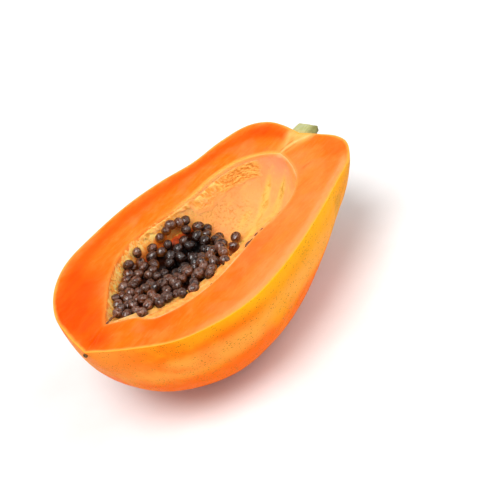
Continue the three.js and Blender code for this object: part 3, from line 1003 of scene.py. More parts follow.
def seedMaterial():
    # wet seed coats under a glossy skin, near black, with painted light by the way they face: warm
    # brown with pale wrinkles towards the light as painted highlight, near black on the flanks as
    # painted shade, and a painted glow through the coat on the undersides of the few amber ones
    make, finish = startMaterial("seedCoat", {
        "Subsurface Weight": 0.05, "Subsurface Radius": (1.0, 0.4, 0.15), "Subsurface Scale": 0.002,
        "Coat Weight": 1.0, "Coat Roughness": 0.06, "Coat IOR": 1.5, "IOR": 1.4,
        "Specular IOR Level": 0.1,
    })
    even = mapped(make)
    lightFacing, seedTone = field(make, "lightFacing"), field(make, "seedTone")
    cloud, wrinkle = noise(make, even, 2.2, 4, 0.6), noise(make, even, 5.2, 2, 0.45, 1.6)
    vein = make("Math", {0: plus(make, wrinkle, -0.5)}, operation="ABSOLUTE")
    vein = rise(make, vein, 0.06, 0.015)
    # browner towards the lit side: partly the seeds' own brown, partly painted light
    brown = times(make, seedTone, rise(make, cloud, 0.3, 0.62))
    brown = times(make, brown, rise(make, lightFacing, -0.2, 0.7, 0.2, 1))
    # the undersides, away from the light, where the amber ones get a painted glow through the coat
    rind = rise(make, plus(make, lightFacing, rise(make, cloud, 0.3, 0.7, -0.2, 0.2)), 0.8, 0.1)
    # pale wrinkles only on the side facing the light: painted highlight
    highlitWrinkles = times(make, vein, rise(make, lightFacing, 0.2, 0.8), seedTone, 0.3)
    amber = times(make, field(make, "amber"), rind)
    colour = layers(make, seedTones["black"], seedTones, brown=brown, amber=amber, vein=highlitWrinkles)
    fine = noise(make, even, 1.7, 2, 0.5)
    height = plus(make, wrinkle, times(make, vein, 0.15), times(make, fine, 0.3))
    return finish(colour, rise(make, wrinkle, 0.3, 0.7, 0.3, 0.5), height, 0.0008, 0.55)


def bedMaterial():
    # wet pulp round the seeds: yellow where it is thin, then red-orange; the brown where it lies
    # thick under the seeds and the near black in the hollow are painted shade
    make, finish = startMaterial("pulpBed", {
        "Subsurface Weight": 0.1, "Subsurface Radius": (1.0, 0.4, 0.15), "Subsurface Scale": 0.003,
        "Coat Weight": 0.1, "Coat Roughness": 0.2, "Coat IOR": 1.38, "Specular IOR Level": 0.1,
    })
    cloud = noise(make, mapped(make), 4, 4, 0.6)
    thick = plus(make, field(make, "thick"), rise(make, cloud, 0.3, 0.7, -1.6, 1.6))
    colour = layers(
        make, bedTones["thin"], bedTones, orange=rise(make, thick, 0.8, 3.8),
        brown=rise(make, thick, 5.0, 9.0), gloom=field(make, "gloom"),
    )
    fine = noise(make, mapped(make), 1.2, 4)
    return finish(colour, rise(make, cloud, 0.3, 0.7, 0.25, 0.5), fine, 0.0004)


def bedSlab():
    # the bed under the seeds: a slab whose top follows the heap, and dips into the wall. It is
    # pulp where thin, and painted shade among the seeds where it lies thick. Gives its points and
    # faces, and how thick it is and how much of the hollow's painted shade it takes at each point
    lines = [np.linspace(*ends) for ends in zip(bed["low"], bed["high"], bed["points"])]
    x, y = np.meshgrid(*lines, indexing="ij")
    flat = np.stack([x, y, 0 * x], -1)
    top = grains(flat, bed["waves"], heapHeight(x, y) - bed["drop"])

    # the wall's height in each cell: that of the last of many points on the wall that lie in it
    rows, sides = bed["wallPoints"]
    wall = wallPoints(np.linspace(0, 1, rows)[:, None], np.linspace(0, math.pi, sides)[None])
    wall = wall.reshape(-1, 3)
    cellSize = np.subtract(bed["high"], bed["low"]) / np.subtract(bed["points"], 1)
    cell = np.round((wall[:, :2] - bed["low"]) / cellSize).astype(int)
    good = (cell >= 0).all(1) & (cell < x.shape).all(1)
    floor = np.full(x.shape, np.nan)
    floor[cell[good, 0], cell[good, 1]] = wall[good, 2]

    inside = ~np.isnan(floor) & (top > np.nan_to_num(floor, nan=99) - bed["intoWall"])
    whole = inside[:-1, :-1] & inside[1:, :-1] & inside[1:, 1:] & inside[:-1, 1:]
    number = np.arange(x.size).reshape(x.shape)
    cells = np.stack([number[:-1, :-1], number[1:, :-1], number[1:, 1:], number[:-1, 1:]], -1)[whole]
    bottom = np.minimum(top - bed["thin"], np.nan_to_num(floor, nan=0) - bed["underWall"])
    slab = np.concatenate([np.stack([x, y, z], -1).reshape(-1, 3) for z in (top, bottom)])

    # an edge that only one cell has is on the border, where the top is joined to the bottom
    edges = np.concatenate([cells[:, [k, (k + 1) % 4]] for k in range(4)])
    first, shared = np.unique(np.sort(edges, 1), axis=0, return_index=True, return_counts=True)[1:]
    border = edges[first[shared == 1]]
    under = border + x.size
    walls = np.stack([border[:, 1], border[:, 0], under[:, 0], under[:, 1]], -1)
    quads = np.concatenate([cells, cells[:, ::-1] + x.size, walls])
    used = np.zeros(x.size, bool)
    used[cells.reshape(-1)] = True
    keep = np.concatenate([used, used])
    renumber = np.cumsum(keep) - 1

    bare = ease(pastSide(x, y), *bed["bare"])
    thick = np.minimum(top - floor, bed["thickest"] - (bed["thickest"] - bed["bareThick"]) * bare)
    gloom = gloomAt(x, y) * (1 - bare)
    thick, gloom = (np.concatenate([value.reshape(-1)] * 2)[keep] for value in (thick, gloom))
    return slab[keep], renumber[quads], thick, gloom


def heapSeeds():
    # the seeds listed one by one and those thrown on top, eased apart, and a coarser layer under them
    resting = np.array(seeds["resting"])
    under = seeds["under"]
    thrown = throwSeeds(seeds["start"], seeds["throws"], 0, seeds["spacing"], resting)
    turns = draws(seeds["restingStart"], 2 * len(resting)).reshape(-1, 2) * 2 * math.pi
    byHand = (
        resting,
        np.pad(turns, ((0, 0), (0, 1))),
        np.full(len(resting), seeds["restingSize"]),
        resting[:, 2] - seeds["floorGap"],
    )
    centres, angles, size, floor = (np.concatenate(pair) for pair in zip(byHand, thrown))
    lower = throwSeeds(under["start"], under["throws"], under["drop"], under["spacing"], centres)[:3]
    print("seeds on top", len(centres), "and under", len(lower[0]))
    centres = easeApart(centres, floor, len(resting))
    shown = (gapToLoose(centres) > seeds["looseRoom"]) & onHeap(centres)

    places = lower[0]
    leftEdge = curveAt(cavity["left"], np.linspace(0, 1, under["edgePoints"]))
    fromLeft = gapTo(places, leftEdge)
    lowShown = (fromLeft > under["fromLeft"]) & (gapToLoose(places) > under["looseRoom"])
    lowShown = lowShown & onHeap(places) & (pastToe(*places.T[:2]) < heap["toe"] + under["pastToe"])
    return [value[shown] for value in (centres, angles, size)], [value[lowShown] for value in lower]


def seedHeap():
    # the seeds and their bed as one mesh, with the values that their materials read
    (centres, angles, size), (lowCentres, lowAngles, lowSize) = heapSeeds()
    top, topQuads = seedShapes(centres, angles, size, **seeds["fine"])
    lowSize = lowSize * seeds["under"]["size"]
    low, lowQuads = seedShapes(lowCentres, lowAngles, lowSize, **seeds["underFine"])
    slab, slabQuads, thick, slabHollowShade = bedSlab()

    # the hollow's seeds are darker and the under layer darker still, both as painted shade, and
    # half of those on the slope towards the stem are amber
    rng = np.random.default_rng(seeds["toneSeed"])
    gloom = gloomAt(*centres.T[:2])
    least, more = seeds["tone"]
    topTone = (least + more * rng.uniform(0, 1, len(centres))) * (1 - seeds["darker"] * gloom)
    slope = ease(centres[:, 0], *seeds["amberAlong"]) * (1 - gloom)
    least, more = seeds["amberShare"]
    amber = rng.uniform(0, 1, len(centres)) < least + more * slope
    amber = amber * rng.uniform(*seeds["amber"], len(centres))
    lowTone = seeds["underTone"] * (1 - gloomAt(*lowCentres.T[:2]))

    perTop, perLow = top[0, ..., 0].size, low[0, ..., 0].size
    topCount, lowCount = top[..., 0].size, low[..., 0].size
    noTop, noLow, noBed = np.zeros(topCount), np.zeros(lowCount), 0 * thick
    # how far each point faces the light, for the painted highlight; the under layer gets half, as
    # painted shade
    topLightFacing, lowLightFacing = lightFacingOf(top, centres), seeds["underLightFacing"] * lightFacingOf(low, lowCentres)
    values = {
        "seedTone": (np.repeat(topTone, perTop), np.repeat(lowTone, perLow), noBed),
        "amber": (np.repeat(amber, perTop), noLow, noBed),
        "lightFacing": (topLightFacing.reshape(-1), lowLightFacing.reshape(-1), noBed),
        "thick": (noTop, noLow, thick),
        "gloom": (noTop, noLow, slabHollowShade),
    }
    values = {key: np.concatenate(value) for key, value in values.items()}
    points = np.concatenate([top.reshape(-1, 3), low.reshape(-1, 3), slab])
    quads = np.concatenate([topQuads, lowQuads + topCount, slabQuads + topCount + lowCount])
    slots = np.repeat([0, 0, 1], [len(topQuads), len(lowQuads), len(slabQuads)])
    return buildMesh("seedHeap", toRow(points), quads, [seedCoat, bedMaterial()], slots, values)


seedCoat = seedMaterial()
pile = seedHeap()
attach(pile, "root")
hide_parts("seed_heap")

loose, looseTurns = loosePlaces()
looseSizes = np.ones(len(loose))
loosePoints, looseQuads = seedShapes(loose, looseTurns, looseSizes, **seeds["looseFine"])
looseValues = {"seedTone": 0.55, "amber": 0.45, "lightFacing": lightFacingOf(loosePoints, loose)}
looseSeeds = buildMesh("looseSeeds", toRow(loosePoints), looseQuads, [seedCoat], None, looseValues)
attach(looseSeeds, "root")
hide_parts("loose_seed_1", "loose_seed_2")
print("seeds built,", len(pile.data.polygons), "faces")


pulp = {
    "wall": {
        "along": (0.08, 0.57), "depth": 16.5, "rows": 440, "columns": 60, "start": 0.9, "sunk": 0.7,
        "back": 1.6,  # mm
        "curls": (0.11, 0.15, 0.23, 0.28), "tongues": (0.23, 0.27, 0.35, 0.40),
        "fringe": (0.35, 0.40, 0.52, 0.56),
        "long": [(1.2, (1.5, 4.5, 9), 102), (0.5, (0.7, 2.2, 9), 103)],  # the ridges down the wall
        "lumps": [(0.8, (1.5, 0.62, 9), 104), (0.5, (0.7, 0.42, 9), 105), (0.3, (2.6, 1.3, 9), 108)],
        "torn": [(0.12, (6, 5, 9), 101)], "hem": [(1.5, (1.4, 9, 9), 106)],
        "slant": 0.35, "base": 0.42, "rise": 0.55, "least": -0.6,
        # mm down the wall, or shares of its reach, where it begins, ends and turns to lumps
        "begins": (2.6, 4.2), "ends": (0.55, 0.92), "lumpyFrom": (6, 10),
        "fringeBegins": (1.6, 2.6), "fringeEnds": (3.5, 6.5),
        "lowLumps": 0.45, "curlLumps": 0.8, "fringeRidges": 0.6, "sunkUnder": (0, 0.25),
        "bunch": 0.9, "deepShare": 0.92,
    },
    "threads": {
        "count": 44, "along": (0.42, 0.86), "depth": (1.5, 8), "length": (1.8, 3.6),
        "radius": (0.24, 0.4), "thinning": (1.4, 1.1), "sunk": 0.5, "out": 0.45, "down": 0.85,
        "lean": 0.3, "steps": 9, "sides": 6,
    },
    "shelf": {
        "along": (0.30, 0.95), "rows": 460, "columns": 18, "thick": 0.22, "lift": 0.3, "start": 0.9,
        "sunk": 0.8, "firstSunk": 1.4, "firstShare": 0.12, "slant": -0.25,
        "torn": [(0.34, 4.2, 91), (0.10, 1.3, 92)],
        "bumps": [(0.5, (3.2, 2.2, 2), 93), (0.22, (1.1, 0.8, 1), 94)],
        "raiseWaves": [(0.5, 2.5, 95)],
        # shares of the way to its torn edge where it comes up, is bumpy, lifts, and turns deeper
        "upAcross": (0, 0.3), "bumpyAcross": (0, 0.2), "liftAcross": (0.45, 1),
        "thickAcross": (-0.02, 0.1), "tipAcross": (0.55, 1), "tip": 0.6,
        # how far its torn edge reaches inward and how far that is lifted, in mm, from its stem end
        "reach": [0.5, 2, 3, 3.2, 4, 5.5, 5, 4.5, 6, 9, 9.5, 7, 5.5, 4, 0.5],
        "raise": [0, 0.3, 0.3, 0.3, 0.5, 1.2, 1.0, 1.2, 1.6, 1.8, 1.2, 1.0, 0.8, 0.5, 0],
    },
}


def wallSpots(count, spans, seed):
    # places on the left wall at a share along it and a depth below the cut, and the ways across
    # the wall there: down it, along it and out of it
    rng = np.random.default_rng(seed)
    along = rng.uniform(*spans["along"], count)
    depth = rng.uniform(*spans["depth"], count)
    around = np.linspace(0.02, 1.4, 300)[None]
    wall = wallPoints(along[:, None], around)
    angle = around[0][np.abs(-wall[..., 2] - depth[:, None]).argmin(1)]
    spot = wallPoints(along, angle)
    down = unit(wallPoints(along, angle + 0.02) - spot)
    onward = unit(wallPoints(along + 0.002, angle) - spot)
    out = turnedTo(unit(np.cross(onward, down)), spot, (0, 0, -6))
    return rng, spot, down, onward, out


def spanAt(along, span):
    # rises over the first two shares along and falls over the last two
    return ease(along, *span[:2]) * (1 - ease(along, *span[2:]))


def pulpHeight(down, onward, reach, along):
    # how high the pulp stands, where it is, and how curled it is: ridges running down the wall in
    # the tongues and the fringe, and curled lumps nearer the stem
    wall = pulp["wall"]
    flat = np.stack([onward + wall["slant"] * down, down + 0 * onward, 0 * onward], -1)
    curls, tongues, fringe = (spanAt(along, wall[key]) for key in ("curls", "tongues", "fringe"))
    share = grains(flat, wall["torn"], down / reach)
    inside = ease(down, *wall["begins"]) * (1 - ease(share, *wall["ends"]))
    inside = inside * np.clip(curls + tongues, 0, 1)
    hem = 1 - ease(grains(flat, wall["hem"], down), *wall["fringeEnds"])
    inside = np.maximum(inside, fringe * ease(down, *wall["fringeBegins"]) * hem)
    long, lump = grains(flat, wall["long"]), grains(flat, wall["lumps"])
    upper = 1 - ease(down, *wall["lumpyFrom"])
    high = tongues * (upper * long + (1 - upper) * wall["lowLumps"] * lump)
    high = high + wall["curlLumps"] * curls * lump + wall["fringeRidges"] * fringe * long
    height = inside * (wall["base"] + wall["rise"] * np.maximum(high, wall["least"]))
    height = height - (1 - ease(inside, *wall["sunkUnder"])) * wall["sunk"]
    height[0], height[-1] = -wall["sunk"] * 2, -wall["sunk"] * 2
    return height, {"high": high, "shown": inside, "curled": curls + 0 * high, "along": along + 0 * high}


def borderOf(rows, columns):
    # the numbers of a grid's outermost points, in order round it
    number = np.arange(rows * columns).reshape(rows, columns)
    return np.concatenate([number[0], number[1:, -1], number[-1, -2::-1], number[-2:0:-1, 0]])


def pulpWall():
    # the fibrous pulp on the left wall: a fine skin over the lining and a back inside the flesh,
    # joined round their border. Its outer rows are sunk into the lining
    wall = pulp["wall"]
    along = np.linspace(*wall["along"], wall["rows"])[:, None]
    left, inner = curveAt(cavity["left"], along), curveAt(cavity["inner"], along)
    deepest = levelAt(cavity["depths"], along) * (left[..., 1] - inner[..., 1]) / 2
    reach = np.minimum(wall["depth"], wall["deepShare"] * deepest)
    across = np.linspace(0, 1, wall["columns"])[None] ** wall["bunch"]
    down = wall["start"] + (reach - wall["start"]) * across
    place = 1 - np.arcsin(down / deepest) / math.pi
    lining = liningPoints(along, place)
    relief = liningRelief(lining, along, place)[0]
    steps = np.linalg.norm(np.diff(left[:, 0], axis=0), axis=-1)
    onward = np.concatenate([[0], np.cumsum(steps)])[:, None] + 0 * down
    height, values = pulpHeight(down, onward, reach, along)
    outward = inwardNormals(lining)
    front, back = lining + outward * (relief + height)[..., None], lining - outward * wall["back"]
    quads = gridQuads(wall["rows"], wall["columns"])
    border, total = borderOf(wall["rows"], wall["columns"]), down.size
    after = np.roll(border, -1)
    edge = np.stack([after, border, border + total, after + total], -1)
    quads = np.concatenate([quads, quads[:, ::-1] + total, edge])
    values = {key: np.stack([value, value]) for key, value in values.items()}
    points = toRow(np.stack([front, back]))
    return buildMesh("pulpWall", points, quads, [wallPulpMaterial()], None, values)


# groove and crest follow the relief: partly the pulp's own colours, partly painted shade and highlight
wallTones = {
    **tones(0.88, groove="ee9a40", curledGroove="de8c36"),
    **tones(0.9, crest="ffc666", paleCrest="ffb66c", curledCrest="fab258"),
}


def wallPulpMaterial():
    # pale yellow crests, orange in the grooves and browner among the curls. The colour follows the
    # relief's height: partly the pulp's own colours, partly painted shade and painted highlight
    make, finish = startMaterial("wallPulp", {
        "Subsurface Weight": 0.15, "Subsurface Radius": (1.0, 0.4, 0.12), "Subsurface Scale": 0.001,
        "Coat Weight": 0.04, "Coat Roughness": 0.25, "Specular IOR Level": 0.1,
    })
    fine, cloud = noise(make, mapped(make), 0.9, 4, 0.6), noise(make, mapped(make), 5, 3)
    curled, along = field(make, "curled"), field(make, "along")
    high = plus(make, field(make, "high"), rise(make, fine, 0.3, 0.7, -0.25, 0.25))
    groove = layers(make, wallTones["groove"], wallTones, curledGroove=curled)
    clouded = rise(make, cloud, 0.35, 0.65)
    crest = layers(make, wallTones["crest"], wallTones, paleCrest=clouded, curledCrest=curled)
    # orange low in the relief and pale high on it: partly painted shade and highlight
    colour = blend(make, rise(make, high, -0.55, 0.6), groove, crest)
    lining = blend(make, rise(make, along, 0.36, 0.5), wallColour(make, cloud), leftWallColour(make))
    colour = blend(make, rise(make, field(make, "shown"), 0.75, 0.15), colour, lining)
    return finish(colour, rise(make, fine, 0.3, 0.7, 0.34, 0.52), fine, 0.0002)


def tubes(paths, radii, sides):
    # a ring of points carried along each path, at right angles to it, closed at both ends by a
    # radius of nothing. paths is [tube, step, 3] and radii is [tube, step]
    ahead = unit(np.gradient(paths, axis=1))
    side = unit(np.cross(ahead, np.array([0.31, 0.77, 0.55])))  # any way that no tube runs in
    top = np.cross(ahead, side)
    angle = np.linspace(0, 2 * math.pi, sides, endpoint=False)[:, None]
    ring = np.cos(angle) * side[:, :, None] + np.sin(angle) * top[:, :, None]
    points = paths[:, :, None] + ring * radii[:, :, None, None]
    quads = gridQuads(paths.shape[1], sides, wrap=True)
    return points, repeated(quads, paths.shape[1] * sides, len(paths))


def seedThreads():
    # the little stalks that held seeds, thinning away from the wall
    spans = pulp["threads"]
    rng, spot, down, onward, out = wallSpots(spans["count"], spans, 83)
    s = np.linspace(0, 1, spans["steps"])[None, :, None]
    length = rng.uniform(*spans["length"], (spans["count"], 1, 1))
    lean = rng.normal(0, spans["lean"], (spans["count"], 1, 1))
    heading = spans["out"] * out + spans["down"] * down
    paths = spot[:, None] - spans["sunk"] * out[:, None] + heading[:, None] * length * s
    paths = paths + onward[:, None] * lean * length * s**2
    thick, thinner = spans["thinning"]
    radii = rng.uniform(*spans["radius"], (spans["count"], 1)) * (thick - thinner * s[..., 0])
    radii[:, [0, -1]] = 0
    points, quads = tubes(paths, radii, spans["sides"])
    tip = np.broadcast_to(s[..., 0][..., None], points.shape[:-1])
    threadPulp = pulpMaterial("threadPulp", "ffc060", "d88a2c")
    return buildMesh("seedThreads", toRow(points), quads, [threadPulp], None, {"tip": tip})


def pulpShelf():
    # a torn skin of pulp on the shelf: a thin sheet from under the flesh's edge inward. Its first
    # rows are sunk, and its inner edge is ragged and lifts over the seeds
    sheet = pulp["shelf"]
    along = np.linspace(*sheet["along"], sheet["rows"])[:, None]
    t = np.linspace(0, 1, sheet["rows"])[:, None]
    share = np.linspace(0, 1, sheet["columns"])[None]
    left, right, inner = (curveAt(cavity[edge], along) for edge in ("left", "right", "inner"))
    reach, lift = (levelAt(sheet[key], t) for key in ("reach", "raise"))
    way = unit(inner - right) + np.array([sheet["slant"], 0.0])
    torn = grains(withHeight(right), sheet["torn"], 1.0)
    flat = right + way * (sheet["start"] + reach * share * torn)[..., None]
    place = withHeight(flat)
    bumps, lifted = grains(place, sheet["bumps"]), grains(place, sheet["raiseWaves"], 0.8)
    z = -shelfDrop(left, right, flat[..., 1]) - sheet["sunk"]
    z = z + (sheet["lift"] + sheet["sunk"]) * ease(share, *sheet["upAcross"])
    z = z + lift * lifted * ease(share, *sheet["liftAcross"])
    z = z + bumps * ease(share, *sheet["bumpyAcross"])
    z = z - sheet["firstSunk"] * (1 - ease(t, 0, sheet["firstShare"]))
    thick = sheet["thick"] * np.sqrt(np.clip(1 - share**4, 0, 1))
    thick = thick * ease(share, *sheet["thickAcross"]) * np.ones_like(z)
    thick[0], thick[-1] = 0, 0
    points = np.stack([withHeight(flat, z + thick), withHeight(flat, z - thick)])
    quads = gridQuads(sheet["rows"], sheet["columns"])
    quads = np.concatenate([quads, quads[:, ::-1] + z.size])
    tip = sheet["tip"] * ease(share, *sheet["tipAcross"])
    shelfPulp = pulpMaterial("shelfPulp", "fca24e", "ee8430", 0.92)
    return buildMesh("pulpShelf", toRow(points), quads, [shelfPulp], None, {"tip": tip})


def pulpMaterial(name, pale, deep, strength=0.9):
    # moist pale pulp, turning to its second colour towards the tip
    make, finish = startMaterial(name, {
        "Subsurface Weight": 0.25, "Subsurface Radius": (1.0, 0.4, 0.15), "Subsurface Scale": 0.002,
        "Coat Weight": 0.1, "Coat Roughness": 0.25, "Specular IOR Level": 0.25,
    })
    fine, cloud = noise(make, mapped(make), 0.9, 4, 0.6), noise(make, mapped(make), 3.5, 3)
    share = plus(make, rise(make, field(make, "tip"), 0.25, 0.8), rise(make, cloud, 0.42, 0.65, 0, 0.7))
    colour = blend(make, share, tone(pale, strength), tone(deep, strength))
    return finish(colour, rise(make, fine, 0.3, 0.7, 0.34, 0.52), fine, 0.00025)


slivers = {
    "seeds": [  # place in mm, turns about X, Y and Z in radians, and size
        (0.6, -34.6, -0.9, 0.2, 0.1, 0.15, 0.82),
        (3.4, -35.0, -0.6, 0.1, 0.3, -0.2, 0.45),
        (8.6, -34.8, -0.4, 0.2, 0.1, 0.05, 0.48),
        (13.4, -35.3, -0.35, 0.1, 0.2, -0.1, 0.38),
        (-75.6, 4.6, -1.0, 0.2, 0.2, -0.1, 0.6),
        (-78.8, 4.7, -0.7, 0.3, 0.1, 0.9, 0.55),
        (-82.0, 4.3, -0.4, 0.1, 0.1, 0.3, 0.4),
        (-36.8, -36.2, -0.5, 0.1, 0.1, 0.6, 0.3),
    ],
    "squash": [1, 0.42, 0.42],
    "fine": {"rings": 12, "sides": 20, "seed": 57},
}
scar = {
    "seeds": [(-107.3, 0.4, -2.4, 0.3, 0.2, 0.1, 0.55)],
    "squash": [0.5, 0.9, 0.75],
    "fine": {"rings": 16, "sides": 24, "seed": 58},
}


def squashedSeeds(piece):
    # seed shapes squashed about their own middles
    rows = np.array(piece["seeds"])
    places = rows[:, :3]
    points, quads = seedShapes(places, rows[:, 3:6], rows[:, 6], **piece["fine"])
    middle = places[:, None, None]
    return toRow(middle + (points - middle) * np.array(piece["squash"])), quads


def seedSlivers():
    # seeds sliced by the knife: thin dark scraps let into the cavity's edge
    points, quads = squashedSeeds(slivers)
    values = {"seedTone": 0.6, "amber": 0.35, "lightFacing": 0.3}
    return buildMesh("seedSlivers", points, quads, [seedCoat], None, values)


def blossomScar():
    # a small dark nub on the fruit's tip: a wrinkled ball, flattened along the fruit
    points, quads = squashedSeeds(scar)
    make, finish = startMaterial("scarCork", {"IOR": 1.45})
    fine = noise(make, mapped(make), 0.6, 4, 0.6)
    colour = blend(make, rise(make, fine, 0.35, 0.65), tone("3a2208"), tone("7a5218"))
    cork = finish(colour, rise(make, fine, 0.3, 0.7, 0.6, 0.8), fine, 0.0003)
    return buildMesh("blossomScar", points, quads, [cork])


for piece, slot in (
    (pulpWall(), "flesh"),
    (seedThreads(), "flesh"),
    (pulpShelf(), "flesh"),
    (seedSlivers(), "seed"),
    (blossomScar(), "flesh"),
):
    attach(piece, "root")
print("pulp and scar built")


stem = {
    "radius": 7.6, "root": 98, "end": 109, "flare": 1.1, "taper": 0.97, "aside": -1,  # mm and shares
    "rings": 60, "sides": 96, "capRings": 14, "cutColumns": 24,
    "ridges": 11, "ridgeTwist": 1.5, "ridgeHeight": 0.02, "bark": [(0.018, (5, 1.2, 1.2), 71)],
    "barkRound": 6,  # mm, the radius of the half round that the bark's noise is read on
    "flareCurve": 0.8, "endFrom": 0.93, "endRound": 0.5, "dome": 0.4, "capGrain": (0.12, 1.4, 72),
    "cutHeight": 0.16, "cutWaves": [(0.05, (3, 0.8, 0.8), 73)],
    "rootSunk": 1.4, "sunkAlong": (99.5, 103.5), "greenFrom": (99.5, 104), "shadeAcross": (1.0, 6.5),
}


def cutHeight(points):
    # just proud of the fruit's cut face, and sunk into it at the root
    sunk = stem["rootSunk"] * (1 - ease(points[..., 0], *stem["sunkAlong"]))
    return grains(points, stem["cutWaves"], stem["cutHeight"]) - sunk


def stemPiece():
    # a half round carried along X, widest at its root, with bark ridges and a domed end, and the
    # flat of the cut across its top
    s = np.linspace(0, 1, stem["rings"])[:, None]
    turn = np.linspace(0, math.pi, stem["sides"])[None]
    narrowing = np.minimum(2 * s, 1) ** stem["flareCurve"]
    width = stem["flare"] + (stem["taper"] - stem["flare"]) * narrowing
    x = stem["root"] + (stem["end"] - stem["root"]) * s + 0 * turn
    reach = stem["barkRound"]
    around = np.stack([x, reach * np.cos(turn) + 0 * x, reach * np.sin(turn) + 0 * x], -1)
    ridges = 1 + stem["ridgeHeight"] * np.cos(stem["ridges"] * turn + stem["ridgeTwist"] * s)
    pastEnd = np.clip((s - stem["endFrom"]) / (1 - stem["endFrom"]), 0, 1)
    radius = stem["radius"] * width * grains(around, stem["bark"], ridges)
    radius = radius - stem["endRound"] * (1 - np.sqrt(1 - 0.98 * pastEnd**2))
    outer = np.stack([x, stem["aside"] + radius * np.cos(turn), -radius * np.sin(turn)], -1)
    inward = np.linspace(1, 0, stem["capRings"])[1:, None, None]
    middle = np.array([stem["end"], stem["aside"], 0])
    cap = middle + (outer[-1][None] - middle) * inward
    inward = inward[..., 0]
    rough = grains(cap, [stem["capGrain"]]) * (inward < 0.95)
    cap[..., 0] += (0.5 - 0.45 * inward**2) * stem["dome"] + rough
    rootCap = np.array([stem["root"], stem["aside"], 0]) + 0 * outer[:1]
    rows = np.concatenate([rootCap, outer, cap])
    rows[..., 2] = np.where(rows[..., 2] > -1e-6, cutHeight(rows), rows[..., 2])

    across = np.linspace(0, 1, stem["cutColumns"])[None, :, None]
    flat = rows[:, :1] + (rows[:, -1:] - rows[:, :1]) * across
    flat[..., 2] = cutHeight(flat)
    flat[:, 0], flat[:, -1] = rows[:, 0], rows[:, -1]

    points = np.concatenate([rows.reshape(-1, 3), flat.reshape(-1, 3)])
    barkQuads = gridQuads(len(rows), stem["sides"])
    cutQuads = gridQuads(len(rows), stem["cutColumns"])[:, ::-1] + rows[..., 0].size
    quads = np.concatenate([barkQuads, cutQuads])
    slots = np.repeat([0, 1], [len(barkQuads), len(cutQuads)])
    values = {
        "rooted": 1 - ease(points[:, 0], *stem["greenFrom"]),
        "shade": ease(-points[:, 1], *stem["shadeAcross"]),
    }
    materials = [barkMaterial(), stemCutMaterial()]
    return buildMesh("stemPiece", toRow(points), quads, materials, slots, values)


barkTones = tones(0.7, green="7d7a3a", pale="a9a860", patch="6b5226", root="b98a2c")
cutTones = {
    **tones(0.7, green="b9ba74", fibre="d3d08c", pale="c9cda6", shade="8f8a48"),
    **tones(0.8, root="e0bc68"),
}


def barkMaterial():
    # green-brown bark with ribs along it, browner in patches and yellow at the root
    make, finish = startMaterial("stemBark", {"IOR": 1.45})
    rib = noise(make, mapped(make, (0.25, 1, 1)), 1.2, 4, 0.6)
    cloud = noise(make, mapped(make), 4, 3)
    colour = layers(
        make, barkTones["green"], barkTones, pale=rise(make, rib, 0.35, 0.65),
        patch=rise(make, cloud, 0.5, 0.7, 0, 0.7), root=times(make, field(make, "rooted"), 0.8),
    )
    return finish(colour, rise(make, rib, 0.3, 0.7, 0.5, 0.75), rib, 0.0005)


def stemCutMaterial():
    # pale green wood with fibres along it, darker on the right as painted shade, and yellow at the root
    make, finish = startMaterial("stemCut", {
        "Subsurface Weight": 0.15, "Subsurface Radius": (0.8, 0.8, 0.4), "Subsurface Scale": 0.003,
        "IOR": 1.45,
    })
    fibre = noise(make, mapped(make, (0.2, 1, 1)), 0.9, 4, 0.6)
    cloud = noise(make, mapped(make), 5, 3)
    shade = times(make, field(make, "shade"), rise(make, cloud, 0.3, 0.6, 0.5, 1))
    rooted = times(make, field(make, "rooted"), rise(make, fibre, 0.3, 0.7, 0.7, 1))
    colour = layers(
        make, cutTones["green"], cutTones, fibre=rise(make, fibre, 0.35, 0.65),
        pale=rise(make, cloud, 0.45, 0.65, 0, 0.5), shade=shade, root=rooted,
    )
    return finish(colour, rise(make, fibre, 0.3, 0.7, 0.45, 0.65), fibre, 0.0003)


stub = stemPiece()
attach(stub, "root")
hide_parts("stem_stub")
print("stem built")


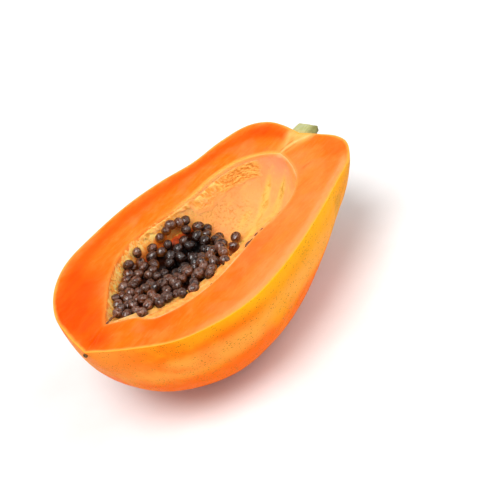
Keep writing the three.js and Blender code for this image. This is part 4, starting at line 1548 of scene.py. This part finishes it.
studio = {
    "floorSize": 24.0, "floorPoints": 41,
    "lights": [  # name, where it shines from, strength and how wide its disc looks, in degrees
        ("front", (-0.60, -0.70, 1.00), 0.70, 80),
        ("back", (-0.10, 0.80, 0.60), 0.60, 80),
        ("side", (0.60, -0.76, 0.60), 1.35, 60),
        ("softbox", (-0.38, -0.16, 0.90), 2.70, 34),
    ],
    "skyFrom": -0.1, "skyTo": 0.8,  # the share that a way points up
    "worldHigh": 0.32,
    "worldLow": 0.36,
}


def floorPiece():
    # a flat sheet of pale paper
    s = np.linspace(-0.5, 0.5, studio["floorPoints"]) * studio["floorSize"]
    x, y = np.meshgrid(s, s, indexing="ij")
    mesh = bpy.data.meshes.new("studioFloor")
    points = np.stack([x, y, 0 * x], -1).reshape(-1, 3)
    quads = gridQuads(studio["floorPoints"], studio["floorPoints"])
    mesh.from_pydata(points.tolist(), [], quads.tolist())
    make, finish = startMaterial("floorPaper", {"IOR": 1.4})
    mottle, fine = noise(make, mapped(make), 40, 3), noise(make, mapped(make), 1.5, 3)
    colour = blend(make, rise(make, mottle, 0.3, 0.7), tone("f6f6f5"), tone("fafafa"))
    mesh.materials.append(finish(colour, rise(make, mottle, 0.3, 0.7, 0.7, 0.8), fine, 0.00005))
    return addPiece("studioFloor", mesh)


floor = floorPiece()
for name, source, strength, disc in studio["lights"]:
    lamp = bpy.data.lights.new(name, "SUN")
    lamp.energy, lamp.angle = strength, math.radians(disc)
    light = bpy.data.objects.new(name, lamp)
    light.rotation_euler = Vector(source).to_track_quat("Z", "Y").to_euler()
    bpy.context.scene.collection.objects.link(light)
world = bpy.data.worlds.new("studioWorld")
world.use_nodes = True
sky = world.node_tree.nodes
upward = sky.new("ShaderNodeSeparateXYZ")
glow = sky.new("ShaderNodeMapRange")
for key, value in (
    ("From Min", studio["skyFrom"]),
    ("From Max", studio["skyTo"]),
    ("To Min", studio["worldLow"]),
    ("To Max", studio["worldHigh"]),
):
    glow.inputs[key].default_value = value
world.node_tree.links.new(sky.new("ShaderNodeTexCoord").outputs["Generated"], upward.inputs[0])
world.node_tree.links.new(upward.outputs["Z"], glow.inputs["Value"])
world.node_tree.links.new(glow.outputs["Result"], sky["Background"].inputs["Strength"])
sky["Background"].inputs["Color"].default_value = (1, 1, 1, 1)
bpy.context.scene.world = world
bpy.context.scene.view_settings.view_transform = "Standard"
print("studio lit")
